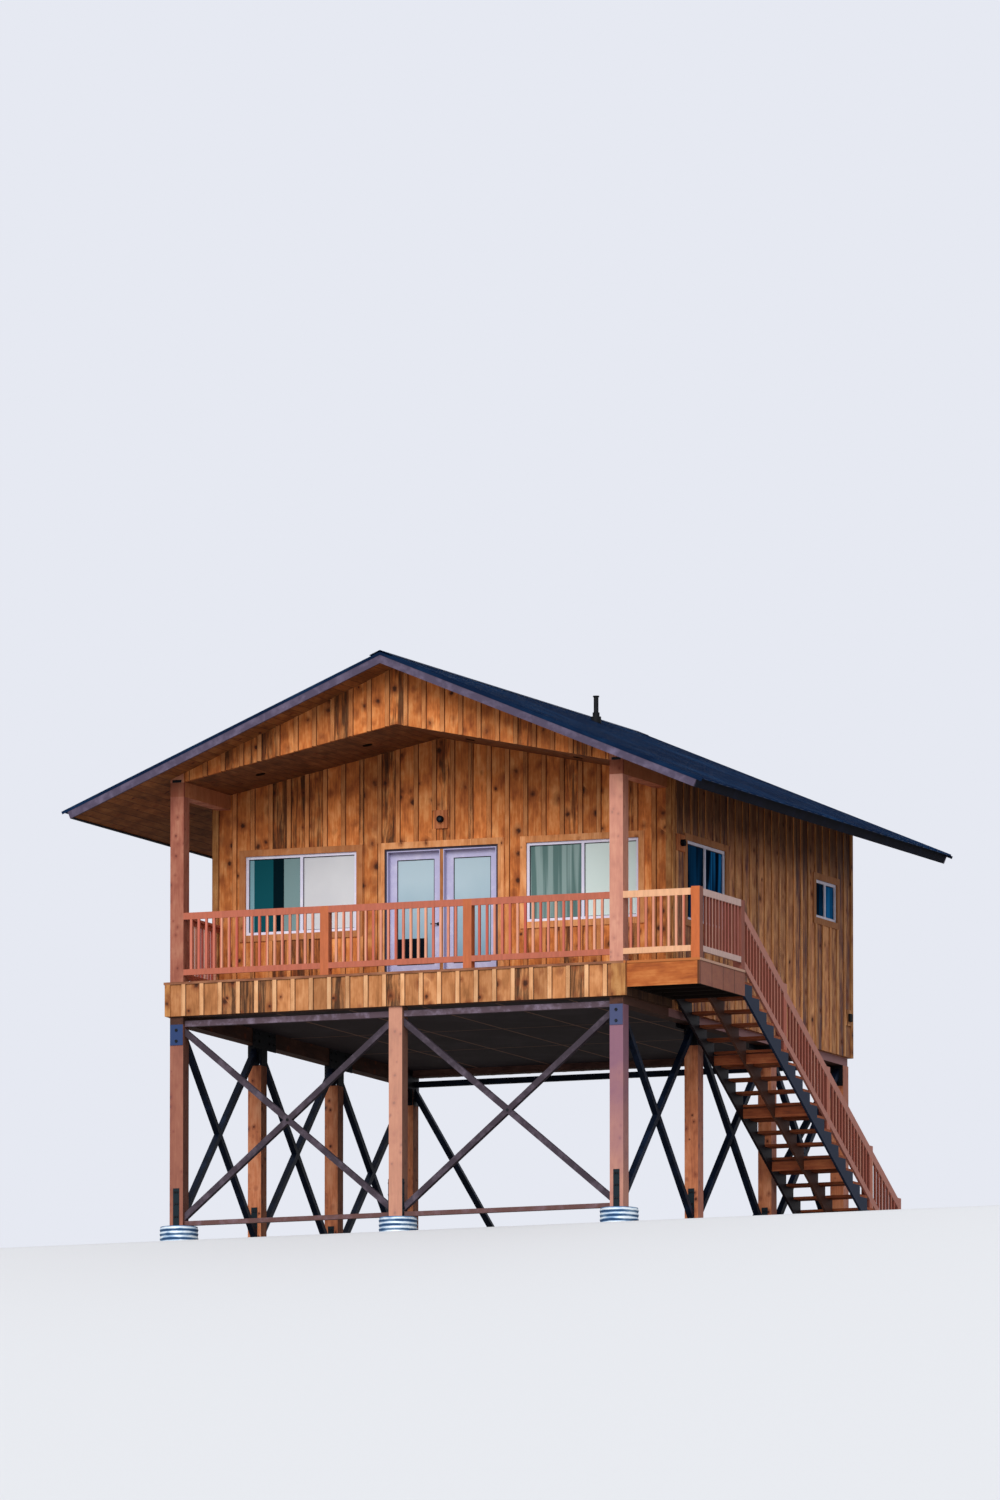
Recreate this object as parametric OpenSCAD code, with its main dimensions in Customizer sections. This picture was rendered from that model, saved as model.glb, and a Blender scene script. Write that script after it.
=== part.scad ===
// Fire lookout tower: a timber cabin with a gabled porch on braced posts,
// with a side landing and an open stair along the right wall.
// X runs along the front, Y from the porch to the rear wall, Z up from the foot of the piers.

/* [Foundation and posts] */
// Distance between post centres across the front
post_spacing = 3658; // [3000:50:4300]
// Distance between the rows of posts from front to rear
row_spacing = 3048; // [2850:50:3400]
// Width of the square posts
post_w = 222; // [180:2:260]
// Height of the posts on their piers
post_h = 3125; // [2800:25:3800]
// Diameter of the corrugated pier forms
pier_d = 600; // [450:10:700]
// Height of the piers
pier_h = 250; // [200:10:500]
// Diameter of the piers under the rear rakers
raker_pier_d = 450; // [380:10:600]
// Distance of the raker feet from the middle of the rear row
raker_x = 1770; // [1400:10:2200]

/* [Steel] */
// Width of the square brace tubes
tube_w = 90; // [60:5:110]
// Height of the upper brace joint below the post top
brace_top = 115; // [80:5:200]
// Height of the lower brace joint above the pier
brace_foot = 155; // [145:5:250]
// Height of the upper struts above the post tops
strut_up = 60; // [40:5:90]
// Height of the lower front struts
low_strut_h = 70; // [50:5:80]
// Height of the lower front struts above the piers
low_strut_up = 15; // [5:5:20]
// Thickness of the steel plates
plate_t = 10; // [6:1:16]
// Length of the T plates along the side beams
gusset_l = 900; // [700:20:1100]
// Reach of the T plates below the side beams
gusset_drop = 70; // [40:5:120]
// Height of the bolted plates and plate legs
plate_h = 320; // [250:10:380]
// Distance of the bolted plates' edges from the posts' edges
plate_inset = 4; // [2:1:20]
// Gap at the inner edge of the plates on the side posts
plate_slit = 30; // [10:2:50]
// Width of the base straps
strap_w = 100; // [70:5:140]
// Height of the base straps
strap_h = 590; // [400:10:700]

/* [Platform] */
// Height of the beams on the posts
beam_h = 360; // [300:10:420]
// Height of the floor structure above the beams
floor_t = 257; // [200:1:320]
// Thickness of the deck and floor boards
deck_t = 38; // [25:1:50]
// Height of the boarded skirt
skirt_h = 492; // [430:2:500]
// Thickness of the front and rear skirt
skirt_t = 40; // [25:1:60]
// Thickness of the side skirts
side_skirt_t = 64; // [40:1:90]
// Thickness of the underside panel
panel_t = 12; // [9:1:20]
// Height of the panel above the beam underside
panel_up = 225; // [150:5:230]

/* [Cabin] */
// Depth of the porch
porch_d = 1828; // [1500:10:2200]
// Height of the porch posts above the deck
porch_post_h = 2883; // [2750:1:2950]
// Thickness of the outer walls
wall_t = 150; // [150:5:190]
// Rise of the roof for 12 of run
roof_rise = 5; // [4.8:0.1:5.6]
// Rise of the ceiling for 12 of run
ceiling_rise = 2.45; // [2:0.05:2.6]
// Height of the ceiling ridge above the deck
ceiling_h = 3836; // [3700:10:3950]
// Thickness of the ceiling boards
ceiling_t = 18; // [12:1:25]
// Thickness of the gable face
gable_t = 60; // [40:5:90]

/* [Roof] */
// Height of the rafters' ridge underside above the deck
rafter_h = 4720; // [4650:10:4800]
// Vertical depth of the roof structure
rafter_d = 150; // [120:5:200]
// Horizontal reach of the rafters beyond the side posts
eave_out = 1437; // [1350:10:1700]
// Reach of the roof in front of the posts
roof_front = 633; // [500:10:800]
// Reach of the roof behind the rear posts
roof_rear = 535; // [400:10:700]
// Thickness of the barge boards and fascias
barge_t = 38; // [25:1:45]
// Vertical depth of the barge boards
barge_d = 165; // [155:5:210]
// Reach of the metal beyond the fascias
metal_out = 96; // [60:2:120]
// Thickness of the metal panels
metal_t = 8; // [5:1:12]
// Height of the ribs on the metal
rib_h = 22; // [15:1:30]
// Spacing of the ribs
rib_gap = 305; // [250:5:400]
// Width of the ribs
rib_w = 34; // [20:2:50]
// Thickness of the metal trim on the rakes
rake_t = 6; // [4:1:10]
// Vertical height of the metal trim on the rakes
rake_h = 48; // [30:1:70]
// Half width of the ridge cap
cap_w = 175; // [120:5:220]
// Distance of the vent pipe from the ridge
vent_x = 745; // [400:5:1500]
// Number of the rib bay, from the front, that the vent pipe stands in
vent_bay = 22; // [8:1:30]
// Diameter of the vent pipe
vent_d = 76; // [50:2:110]
// Height of the vent pipe
vent_h = 430; // [300:10:600]

/* [Doors and windows] */
// Width of the doorway between the jambs
door_w = 1828; // [1600:10:1900]
// Height of the door leaves
leaf_h = 2027; // [1950:5:2100]
// Thickness of the door leaves
leaf_t = 44; // [38:1:50]
// Height of the threshold above the deck
sill_h = 70; // [40:2:90]
// Thickness of the door jambs
jamb_t = 35; // [25:1:45]
// Width of the centre post of the doorway
door_post_w = 54; // [50:2:80]
// Clearance around the door leaves
door_gap = 5; // [5:0.5:8]
// Width of the leaves' stiles
stile_w = 125; // [100:5:140]
// Height of the leaves' bottom rails
bottom_rail_h = 260; // [200:5:300]
// Width of the front windows
win_w = 1865; // [1600:5:1950]
// Height of the front windows
win_h = 1230; // [1000:5:1350]
// Height of all window heads above the deck
win_head = 2137; // [2000:5:2200]
// Distance of the front windows from the middle
win_x = 1420; // [1400:5:1550]
// Width of the large side windows
side_win_w = 1600; // [1200:5:1700]
// Width of the small side windows
small_win_w = 905; // [700:5:1000]
// Height of the small side windows
small_win_h = 600; // [500:5:800]
// Distance of the large side windows behind the front wall
side_win_y = 600; // [500:4:900]
// Distance of the small side windows behind the front wall
small_win_y = 5972; // [5600:4:6200]
// Width of the window frame members
frame_w = 45; // [38:1:80]
// Depth of the window frames
frame_d = 80; // [60:5:100]
// Width of the casings
casing_w = 100; // [70:5:120]
// Thickness of the casings
casing_t = 22; // [15:1:30]

/* [Railings] */
// Height of the porch rail above the deck
rail_h = 1075; // [1000:5:1200]
// Height of the rail's flat top board
rail_cap_h = 38; // [30:1:45]
// Width of the rail's flat top board
rail_cap_w = 89; // [60:1:120]
// Height of the board below the top board
rail_board_h = 67; // [50:1:89]
// Thickness of the rail boards
rail_t = 38; // [30:1:45]
// Height of the bottom rail
low_rail_h = 90; // [60:1:100]
// Gap between the deck and the bottom rail
low_rail_gap = 106; // [60:2:130]
// Width of the balusters
baluster_w = 36; // [30:1:45]
// Spacing of the balusters
baluster_gap = 128; // [110:1:160]
// Width of the rail posts
newel_w = 140; // [100:2:150]
// Distance of the porch's middle rail posts from the centre
mid_newel_x = 1190; // [900:10:1800]

/* [Landing and stair] */
// Width of the landing from the skirt
landing_w = 1197; // [1050:5:1300]
// Depth of the landing from front to rear
landing_d = 1850; // [1750:10:2000]
// Height of the landing's rim boards
rim_h = 362; // [300:2:380]
// Thickness of the landing's boards
rim_t = 38; // [30:1:50]
// Number of risers from the ground to the deck
risers = 23; // [21:1:24]
// Run of each tread
tread_run = 300; // [270:5:315]
// Thickness of the treads
tread_t = 38; // [30:1:50]
// Overlap of each tread beyond its run
tread_nose = 10; // [0:2:25]
// Gap between the skirt and the inner stringer
stair_gap = 47; // [20:1:100]
// Thickness of the stringers
stringer_t = 38; // [30:1:50]
// Depth of the stringers below the tread seats
stringer_d = 187; // [150:1:220]
// Height of the stair rail above the nosings
stair_rail_h = 865; // [800:5:950]
// Extra height of the stair rail's panel at the landing
stair_rail_up = 50; // [0:5:100]
// Vertical height of the stair rail's top boards
stair_cap_h = 150; // [100:5:170]
// Vertical height of the stair rail's bottom boards
stair_board_h = 120; // [80:5:140]
// Height of the blocks between the stringers
block_h = 150; // [100:5:160]

/* [Lamps and outlet] */
// Width of the block of the porch lamp
porch_block_w = 216; // [150:2:300]
// Height of the block of the porch lamp
porch_block_h = 285; // [200:5:350]
// Gap between the doorway's casing and the block of the porch lamp
porch_lamp_gap = 183; // [100:1:260]
// Width of the block of the side lamp
side_block_w = 310; // [200:5:350]
// Height of the block of the side lamp
side_block_h = 260; // [150:2:300]
// Distance of the side lamp below the heads of the windows
side_lamp_drop = 78; // [40:1:200]
// Gap between the side lamp's block and the casing of the side window
side_lamp_gap = 12; // [8:1:80]
// Width of the outlet's block
outlet_w = 178; // [120:2:250]
// Height of the outlet's block
outlet_h = 249; // [150:1:300]

/* [Hidden] */
$fn = 48;

// Heights
post_z = pier_h;
beam_z = post_z + post_h;
floor_z = beam_z + beam_h;
platform_z = floor_z + floor_t;
deck_z = platform_z + deck_t;
skirt_z = platform_z - skirt_h;
panel_z = beam_z + panel_up;
strut_z = beam_z + strut_up - tube_w;
porch_beam_z = deck_z + porch_post_h;
rail_top = deck_z + rail_h;
brace_low = post_z + brace_foot;
brace_high = beam_z - brace_top;

// Gap between pieces that stay separate solids
board_gap = 0.5;

// Corrugation of the pier forms
form_pitch = 68;
form_depth = 6;
form_steps = 4;

// Depths, from the outer face of the front posts
rows = 4;
platform_l = (rows - 1) * row_spacing + post_w;
roof_l = roof_front + platform_l + roof_rear;
front_y = roof_front - roof_l / 2;
rear_y = front_y + platform_l;
end_beam_y = rear_y - skirt_t - post_w;
wall_y = front_y + porch_d;
deck_out = 20;
landing_nose = 10;

// Widths
post_in = post_spacing - post_w / 2;
post_out = post_spacing + post_w / 2;
wall_out = post_out + side_skirt_t;
wall_in = wall_out - wall_t;

// Roof: slope, direction of the slope and its normal
slope_run = 12;
slope = roof_rise / slope_run;
slope_a = atan(slope);
ceiling_slope = ceiling_rise / slope_run;
rafter_z = deck_z + rafter_h;
rafter_top = rafter_z + rafter_d;
rafter_x = post_out + eave_out;
ceiling_z = deck_z + ceiling_h;
metal_z = rafter_top + metal_t;
rib_top = metal_z + rib_h;
ribs = floor((roof_l - rib_w) / rib_gap);
roof_y = front_y - roof_front;
slab_y = roof_y + rake_t + barge_t;
slab_l = roof_l - 2 * (rake_t + barge_t);
first_rib_y = roof_y + (roof_l - ribs * rib_gap - rib_w) / 2;
vent_y = first_rib_y + rib_w / 2 + (vent_bay + 0.5) * rib_gap;
cap_t = 6;
slope_gap = 0.2;

// Doorway
rough_w = door_w + 2 * jamb_t;
sill_z = deck_z + sill_h;
head_z = sill_z + leaf_h + 2 * door_gap;
rough_z = head_z + jamb_t;
leaf_in = 5;
leaf_y = wall_y + wall_t - leaf_in - leaf_t;
swing_gap = 3;
leaf_w = door_w / 2 - door_post_w / 2 - 2 * door_gap - swing_gap;
leaf_x = door_w / 2 - door_gap;
stop_w = 14;
stop_gap = 7;
glass_t = 20;

// Windows
head_line = deck_z + win_head;
win_sill = head_line - win_h;
small_sill = head_line - small_win_h;
frame_in = 10;

// Hinges
pin_r = 4;
pin_play = 0.3;
knuckle_r = 8;
knuckle_l = 30;
knuckle_gap = 0.5;
hinge_out = 9;
hinge_plate_t = 3;
hinge_plate_w = 34;
hinge_end = 220;
hinge_y = wall_y + wall_t + hinge_out;
hinge_zs = [sill_z + hinge_end, (sill_z + head_z) / 2, head_z - hinge_end];

// Lamps
lamp_block_t = 30;
lamp_r = 52;
lamp_h = 60;
porch_lamp_z = rough_z + casing_w + porch_lamp_gap + porch_block_h / 2;
side_lamp_z = head_line - side_lamp_drop;
side_lamp_y = wall_y + side_win_y - casing_w - side_lamp_gap - side_block_w / 2;
spot_r = 75;
spot_h = 8;
spot_y = (front_y + wall_y) / 2;
spot_inner = 857;
spot_edge = 896;
spot_xs = [spot_inner, post_in - spot_edge];
outlet_up = 4;
outlet_in = 203;
outlet_z = platform_z + outlet_up;
outlet_y = rear_y - outlet_in;
outlet_box = [45, 90, 120];

// Handle
handle_up = 889;
handle_z = sill_z + handle_up;
handle_in = 58;
rose_r = 26;
rose_t = 10;
lever_out = 52;
lever_l = 115;
lever_r = 9;

// Landing and stair
landing_out = wall_out + landing_w;
landing_y = front_y + landing_d;
rim_z = platform_z - rim_h;
rise = deck_z / risers;
treads = risers - 1;
stair_pitch = rise / tread_run;
stair_l = treads * tread_run;
stringer_top_z = deck_z - rise - tread_t - stringer_d;
stringer_xs = [wall_out + stair_gap, (wall_out + landing_out - stringer_t) / 2, landing_out - stringer_t];
newel_treads = [6, 12, 18, treads];
block_treads = [5:4:treads - 4];
block_up = 10;
stair_board_gap = 20;
newel_up = 25;
newel_share = 0.4;

timber = "#b0764a";
rough_timber = "#a5683f";
cedar = "#b98a5a";
steel = "#4c4650";
dark_steel = "#262a33";
blue_steel = "#56607c";
galvanised = "#a9bccb";
metal_blue = "#27344a";
trim_grey = "#7c7488";
vinyl = "#e6e8ec";
glass_blue = "#5b7f9c";
black = "#202226";

// Shared shapes

// Solid of a front elevation (x, z), from depth y back over length l
module elevation(y, l) {
    translate([0, y + l, 0]) rotate([90, 0, 0]) linear_extrude(l) children();
}

// Solid of a side elevation (y, z), from x over thickness t
module side_view(x, t) {
    translate([x, 0, 0]) rotate([90, 0, 90]) linear_extrude(t) children();
}

module box(x0, x1, y0, y1, z0, z1) {
    translate([x0, y0, z0]) cube([x1 - x0, y1 - y0, z1 - z0]);
}

module both_sides() {
    children();
    mirror([1, 0, 0]) children();
}

// Straight bar of width w between two points of a plane
module bar(p, q, w) {
    d = (q - p) / norm(q - p);
    n = [-d[1], d[0]] * w / 2;
    polygon([p + n, q + n, q - n, p - n]);
}

// Two crossed bars in a bay, cut square at the posts
module crossed(left, right, low, high) {
    reach = [(right - left) / 4, (high - low) / 4];
    intersection() {
        union() {
            bar([left, low] - reach, [right, high] + reach, tube_w);
            bar([left, high] + [-reach[0], reach[1]], [right, low] + [reach[0], -reach[1]], tube_w);
        }
        translate([left, low - tube_w]) square([right - left, high - low + 2 * tube_w]);
    }
}

// Height of a roof plane whose ridge is at z
function on_slope(z, x) = z - slope * abs(x);
function on_ceiling(x) = ceiling_z - ceiling_slope * abs(x);
// Top of what stands below the rafters
function under_roof(x) = on_slope(rafter_z, x) - slope_gap;
function post_y(row) = front_y + row * row_spacing;

// Foundation

module pier(x, y, d) {
    n = floor(pier_h / form_pitch * form_steps);
    edge = [for (i = [0:n])
        [d / 2 - form_depth + form_depth * cos(i * 360 / form_steps), i * form_pitch / form_steps]];
    translate([x, y, 0])
        rotate_extrude() polygon(concat([[0, 0]], edge, [[edge[n][0], pier_h], [0, pier_h]]));
}

module piers() {
    color(galvanised) {
        for (x = [-post_spacing, 0, post_spacing]) pier(x, front_y + post_w / 2, pier_d);
        for (row = [1:rows - 1]) both_sides() pier(post_spacing, post_y(row) + post_w / 2, pier_d);
        both_sides() pier(raker_x, post_y(rows - 1) + post_w / 2, raker_pier_d);
    }
}

module post(x, y, z1) {
    box(x - post_w / 2, x + post_w / 2, y, y + post_w, post_z, z1);
}

module front_posts() {
    color(timber) {
        both_sides() post(post_spacing, front_y, beam_z);
        post(0, front_y, skirt_z);
    }
}

module side_posts() {
    color(timber) for (row = [1:rows - 1]) both_sides()
        post(post_spacing, post_y(row), row < rows - 1 ? beam_z - plate_h : beam_z);
}

// Steel

// T plate on the inner face of a side beam and its post, clear of the rear beam
module t_plate(row) {
    y = post_y(row) + post_w / 2;
    low = beam_z - gusset_drop;
    side_view(post_in - plate_t, plate_t) difference() {
        union() {
            translate([y - gusset_l / 2, low]) square([gusset_l, panel_z - low]);
            translate([y - post_w / 2, beam_z - plate_h]) square([post_w, plate_h]);
        }
        translate([end_beam_y, skirt_z]) square([gusset_l, beam_h]);
        translate([rear_y, post_z]) square([gusset_l, post_h + beam_h]);
    }
}

module base_strap(x, y) {
    box(x - strap_w / 2, x + strap_w / 2, y - plate_t, y, post_z, post_z + strap_h);
}

module top_plate(y) {
    box(post_in + plate_inset, post_out - plate_inset, y - plate_t, y, beam_z - plate_h, beam_z);
}

// Open bracket between a side post and its beam, with a plate at each brace
module bracket(y) {
    low = beam_z - plate_h;
    box(post_in + board_gap, post_out, y + board_gap, y + post_w, low, low + plate_t);
    box(post_in + plate_slit, post_out, y - plate_t, y, low, beam_z);
    box(post_in + plate_slit, post_out, y + post_w - plate_t, y + post_w, brace_high - tube_w, beam_z);
}

// Straps on the sides of the middle post, beside its braces
module side_strap() {
    box(post_w / 2, post_w / 2 + plate_t, front_y + board_gap, front_y + (post_w - tube_w) / 2 - board_gap,
        post_z, post_z + strap_h);
}

module steel_plates() {
    color(blue_steel) both_sides() top_plate(front_y);
    color(dark_steel) {
        for (row = [1:rows - 1]) both_sides() {
            t_plate(row);
            if (row < rows - 1) bracket(post_y(row));
            else top_plate(post_y(row));
            base_strap(post_spacing, post_y(row));
        }
        both_sides() base_strap(post_spacing, front_y);
        both_sides() side_strap();
    }
}

module front_braces() {
    color(steel) both_sides()
        elevation(front_y + (post_w - tube_w) / 2, tube_w)
            crossed(post_w / 2, post_in, brace_low, brace_high);
}

module side_braces() {
    for (row = [0:rows - 2])
        side_view(post_spacing - tube_w / 2, tube_w)
            crossed(post_y(row) + post_w, post_y(row + 1) - plate_t, brace_low, brace_high);
}

module left_braces() { color(dark_steel) mirror([1, 0, 0]) side_braces(); }
module right_braces() { color(dark_steel) side_braces(); }

module strut(x0, x1, y, z, h) {
    box(x0, x1, y + (post_w - tube_w) / 2, y + (post_w + tube_w) / 2, z, z + h);
}

module back_braces() {
    y = post_y(rows - 1);
    reach = post_in - plate_t;
    foot = [raker_x, post_z];
    head = [reach, strut_z - 1.2 * tube_w];
    color(dark_steel) {
        strut(-reach, reach, y, strut_z, tube_w);
        both_sides() elevation(y + (post_w - tube_w) / 2, tube_w)
            intersection() {
                bar(foot - (head - foot) / 8, head + (head - foot) / 8, tube_w);
                translate([0, post_z]) square([reach, post_h]);
            }
    }
}

module front_struts() {
    color(steel) both_sides() {
        strut(post_w / 2, post_in, front_y, strut_z, tube_w);
        strut(post_w / 2, post_in, front_y, post_z + low_strut_up, low_strut_h);
    }
}

// Platform

module side_beams() {
    color(rough_timber) both_sides() box(post_in, post_out, front_y, rear_y - skirt_t, beam_z, floor_z);
}

module end_beams() {
    color(rough_timber) {
        box(-post_in, post_in, front_y, front_y + post_w, skirt_z, floor_z);
        box(-post_in, post_in, end_beam_y, rear_y - skirt_t, skirt_z, floor_z);
    }
}

module underside_panel() {
    color(dark_steel)
        box(-post_in, post_in, front_y + post_w, end_beam_y, panel_z, panel_z + panel_t);
}

module floor_platform() {
    color(rough_timber) box(-post_out, post_out, front_y, rear_y - skirt_t, floor_z, platform_z);
}

module porch_deck() {
    color(timber)
        box(-wall_out - deck_out, wall_out, front_y - skirt_t - deck_out, wall_y, platform_z, deck_z);
}

module room_floor() {
    color(cedar) box(-wall_in, wall_in, wall_y + wall_t, rear_y - wall_t, platform_z, deck_z);
}

module front_skirt() {
    color(cedar) box(-wall_out, wall_out, front_y - skirt_t, front_y, skirt_z, platform_z);
}

module side_skirts() {
    color(cedar) both_sides() box(post_out, wall_out, front_y, rear_y, skirt_z, platform_z);
}

module rear_skirt() {
    color(cedar) box(-post_out, post_out, rear_y - skirt_t, rear_y, skirt_z, platform_z);
}

// Porch

module porch_posts() {
    color(timber) both_sides()
        box(post_in, post_out, front_y, front_y + post_w, deck_z, porch_beam_z);
}

module porch_beams() {
    color(timber) both_sides() elevation(front_y, porch_d)
        polygon([[post_in, porch_beam_z], [post_out, porch_beam_z],
            [post_out, under_roof(post_out)], [post_in, under_roof(post_in)]]);
}

module gable_face() {
    color(cedar) elevation(front_y, gable_t)
        polygon([[-post_in, on_ceiling(post_in)], [0, ceiling_z], [post_in, on_ceiling(post_in)],
            [post_in, under_roof(post_in)], [0, under_roof(0)], [-post_in, under_roof(post_in)]]);
}

module ceiling(half, y0, y1) {
    elevation(y0, y1 - y0)
        polygon([[-half, on_ceiling(half)], [0, ceiling_z], [half, on_ceiling(half)],
            [half, on_ceiling(half) + ceiling_t], [0, ceiling_z + ceiling_t],
            [-half, on_ceiling(half) + ceiling_t]]);
}

module porch_ceiling() { color(cedar) ceiling(post_in, front_y + gable_t, wall_y); }
module room_ceiling() { color(cedar) ceiling(wall_in, wall_y + wall_t, rear_y - wall_t); }

// Walls

// Front wall outline from x0 to x1 on the right of the middle
module front_panel(x0, x1, z0) {
    polygon([[x0, z0], [x1, z0], [x1, under_roof(x1)], [x0, under_roof(x0)]]);
}

module front_side() {
    color(cedar) elevation(wall_y, wall_t) difference() {
        front_panel(rough_w / 2, wall_out, platform_z);
        translate([win_x, win_sill]) square([win_w, win_h]);
    }
}

module front_wall_right() { front_side(); }
module front_wall_left() { mirror([1, 0, 0]) front_side(); }

module front_wall_head() {
    color(cedar) elevation(wall_y, wall_t)
        polygon([[-rough_w / 2, rough_z], [rough_w / 2, rough_z],
            [rough_w / 2, under_roof(rough_w / 2)], [0, under_roof(0)],
            [-rough_w / 2, under_roof(rough_w / 2)]]);
}

module side_holes() {
    translate([wall_y + side_win_y, win_sill]) square([side_win_w, win_h]);
    translate([wall_y + small_win_y, small_sill]) square([small_win_w, small_win_h]);
}

// The side wall's top follows the roof, and its windows are cut through
module side_wall() {
    color(cedar) difference() {
        elevation(wall_y + wall_t, rear_y - wall_y - 2 * wall_t)
            polygon([[wall_in, platform_z], [wall_out, platform_z],
                [wall_out, under_roof(wall_out)], [wall_in, under_roof(wall_in)]]);
        side_view(wall_in - 1, wall_t + 2) side_holes();
    }
}

module right_wall() { side_wall(); }
module left_wall() { mirror([1, 0, 0]) side_wall(); }

module rear_wall() {
    color(cedar) elevation(rear_y - wall_t, wall_t)
        polygon([[-wall_out, platform_z], [wall_out, platform_z], [wall_out, under_roof(wall_out)],
            [0, under_roof(0)], [-wall_out, under_roof(wall_out)]]);
}

// Windows: ring and mullion of a slider with its corner at the origin
module window_ring(w, h) {
    difference() {
        square([w, h]);
        translate([frame_w, frame_w]) square([(w - 3 * frame_w) / 2, h - 2 * frame_w]);
        translate([(w + frame_w) / 2, frame_w]) square([(w - 3 * frame_w) / 2, h - 2 * frame_w]);
    }
}

module window_panes(w, h) {
    for (x = [frame_w, (w + frame_w) / 2])
        translate([x, frame_w]) square([(w - 3 * frame_w) / 2, h - 2 * frame_w]);
}

module casing_ring(w, h) {
    difference() {
        translate([-casing_w, -casing_w]) square([w + 2 * casing_w, h + 2 * casing_w]);
        square([w, h]);
    }
}

module at_front_window() { translate([win_x, win_sill]) children(); }
module at_side_window() { translate([wall_y + side_win_y, win_sill]) children(); }
module at_small_window() { translate([wall_y + small_win_y, small_sill]) children(); }

module window_frames() {
    color(vinyl) both_sides() {
        elevation(wall_y + frame_in, frame_d) at_front_window() window_ring(win_w, win_h);
        side_view(wall_out - frame_in - frame_d, frame_d) at_side_window() window_ring(side_win_w, win_h);
        side_view(wall_out - frame_in - frame_d, frame_d)
            at_small_window() window_ring(small_win_w, small_win_h);
    }
}

module window_glass() {
    in = frame_in + (frame_d - glass_t) / 2;
    color(glass_blue) both_sides() {
        elevation(wall_y + in, glass_t) at_front_window() window_panes(win_w, win_h);
        side_view(wall_out - in - glass_t, glass_t) at_side_window() window_panes(side_win_w, win_h);
        side_view(wall_out - in - glass_t, glass_t)
            at_small_window() window_panes(small_win_w, small_win_h);
    }
}

module casings() {
    color(cedar) {
        both_sides() {
            elevation(wall_y - casing_t, casing_t) at_front_window() casing_ring(win_w, win_h);
            side_view(wall_out, casing_t) at_side_window() casing_ring(side_win_w, win_h);
            side_view(wall_out, casing_t) at_small_window() casing_ring(small_win_w, small_win_h);
        }
        elevation(wall_y - casing_t, casing_t) difference() {
            translate([-rough_w / 2 - casing_w, deck_z])
                square([rough_w + 2 * casing_w, rough_z + casing_w - deck_z]);
            translate([-rough_w / 2, deck_z - 1]) square([rough_w, rough_z - deck_z + 1]);
        }
    }
}

// Doorway

module door_frame() {
    color(timber) {
        elevation(wall_y, wall_t) difference() {
            translate([-rough_w / 2, platform_z]) square([rough_w, rough_z - platform_z]);
            for (s = [0, 1]) mirror([s, 0])
                translate([door_post_w / 2, sill_z]) square([(door_w - door_post_w) / 2, head_z - sill_z]);
        }
        // Stops against which the leaves close
        elevation(wall_y, leaf_y - stop_gap - wall_y) difference() {
            translate([-door_w / 2, sill_z]) square([door_w, head_z - sill_z]);
            for (s = [0, 1]) mirror([s, 0])
                translate([door_post_w / 2 + stop_w, sill_z + stop_w])
                    square([(door_w - door_post_w) / 2 - 2 * stop_w, head_z - sill_z - 2 * stop_w]);
        }
    }
}

// Fixed hinge halves: two outer knuckles with the pin, on a plate on the jamb's edge
module fixed_hinge(z) {
    translate([-leaf_x, hinge_y, z]) {
        cylinder(r = pin_r, h = 3 * knuckle_l + 2 * knuckle_gap, center = true);
        for (s = [-1, 1]) {
            zc = s * (knuckle_l + knuckle_gap);
            translate([0, 0, zc - knuckle_l / 2]) cylinder(r = knuckle_r, h = knuckle_l);
            translate([-knuckle_r, -hinge_out, zc - knuckle_l / 2]) cube([knuckle_r, hinge_out, knuckle_l]);
        }
        translate([-hinge_plate_w, -hinge_out, -1.5 * knuckle_l - knuckle_gap])
            cube([hinge_plate_w - knuckle_r, hinge_plate_t, 3 * knuckle_l + 2 * knuckle_gap]);
    }
}

module door_hinges() {
    color(black) both_sides() for (z = hinge_zs) fixed_hinge(z);
}

// Middle knuckle and its plate on the leaf's inner face
module leaf_hinge(z) {
    drop = hinge_out + leaf_in;
    translate([-leaf_x, hinge_y, z - knuckle_l / 2]) difference() {
        union() {
            cylinder(r = knuckle_r, h = knuckle_l);
            translate([0, -drop, 0]) cube([knuckle_r, drop, knuckle_l]);
            translate([0, -drop, 0]) cube([hinge_plate_w, hinge_plate_t, knuckle_l]);
        }
        translate([0, 0, -1]) cylinder(r = pin_r + pin_play, h = knuckle_l + 2);
    }
}

module leaf() {
    z0 = sill_z + door_gap;
    hole_w = leaf_w - 2 * stile_w;
    hole_h = leaf_h - bottom_rail_h - stile_w;
    translate([-leaf_x, leaf_y, z0]) difference() {
        cube([leaf_w, leaf_t, leaf_h]);
        translate([stile_w, -1, bottom_rail_h]) cube([hole_w, leaf_t + 2, hole_h]);
    }
    for (z = hinge_zs) leaf_hinge(z);
}

module leaf_glass() {
    z0 = sill_z + door_gap + bottom_rail_h;
    translate([-leaf_x + stile_w, leaf_y + (leaf_t - glass_t) / 2, z0])
        cube([leaf_w - 2 * stile_w, glass_t, leaf_h - bottom_rail_h - stile_w]);
}

module left_door() { color(trim_grey) leaf(); }
module left_door_glass() { color(glass_blue) leaf_glass(); }
module right_door() { color(trim_grey) mirror([1, 0, 0]) leaf(); }
module right_door_glass() { color(glass_blue) mirror([1, 0, 0]) leaf_glass(); }

module lever() {
    rotate([90, 0, 0]) cylinder(r = rose_r, h = rose_t);
    rotate([90, 0, 0]) cylinder(r = lever_r, h = lever_out);
    translate([0, lever_r - lever_out, 0]) rotate([0, -90, 0]) cylinder(r = lever_r, h = lever_l);
}

module door_handle() {
    x = -leaf_x + leaf_w - handle_in;
    color(black) {
        translate([x, leaf_y, handle_z]) lever();
        translate([x, leaf_y + leaf_t, handle_z]) mirror([0, 1, 0]) lever();
    }
}

// Roof

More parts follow.
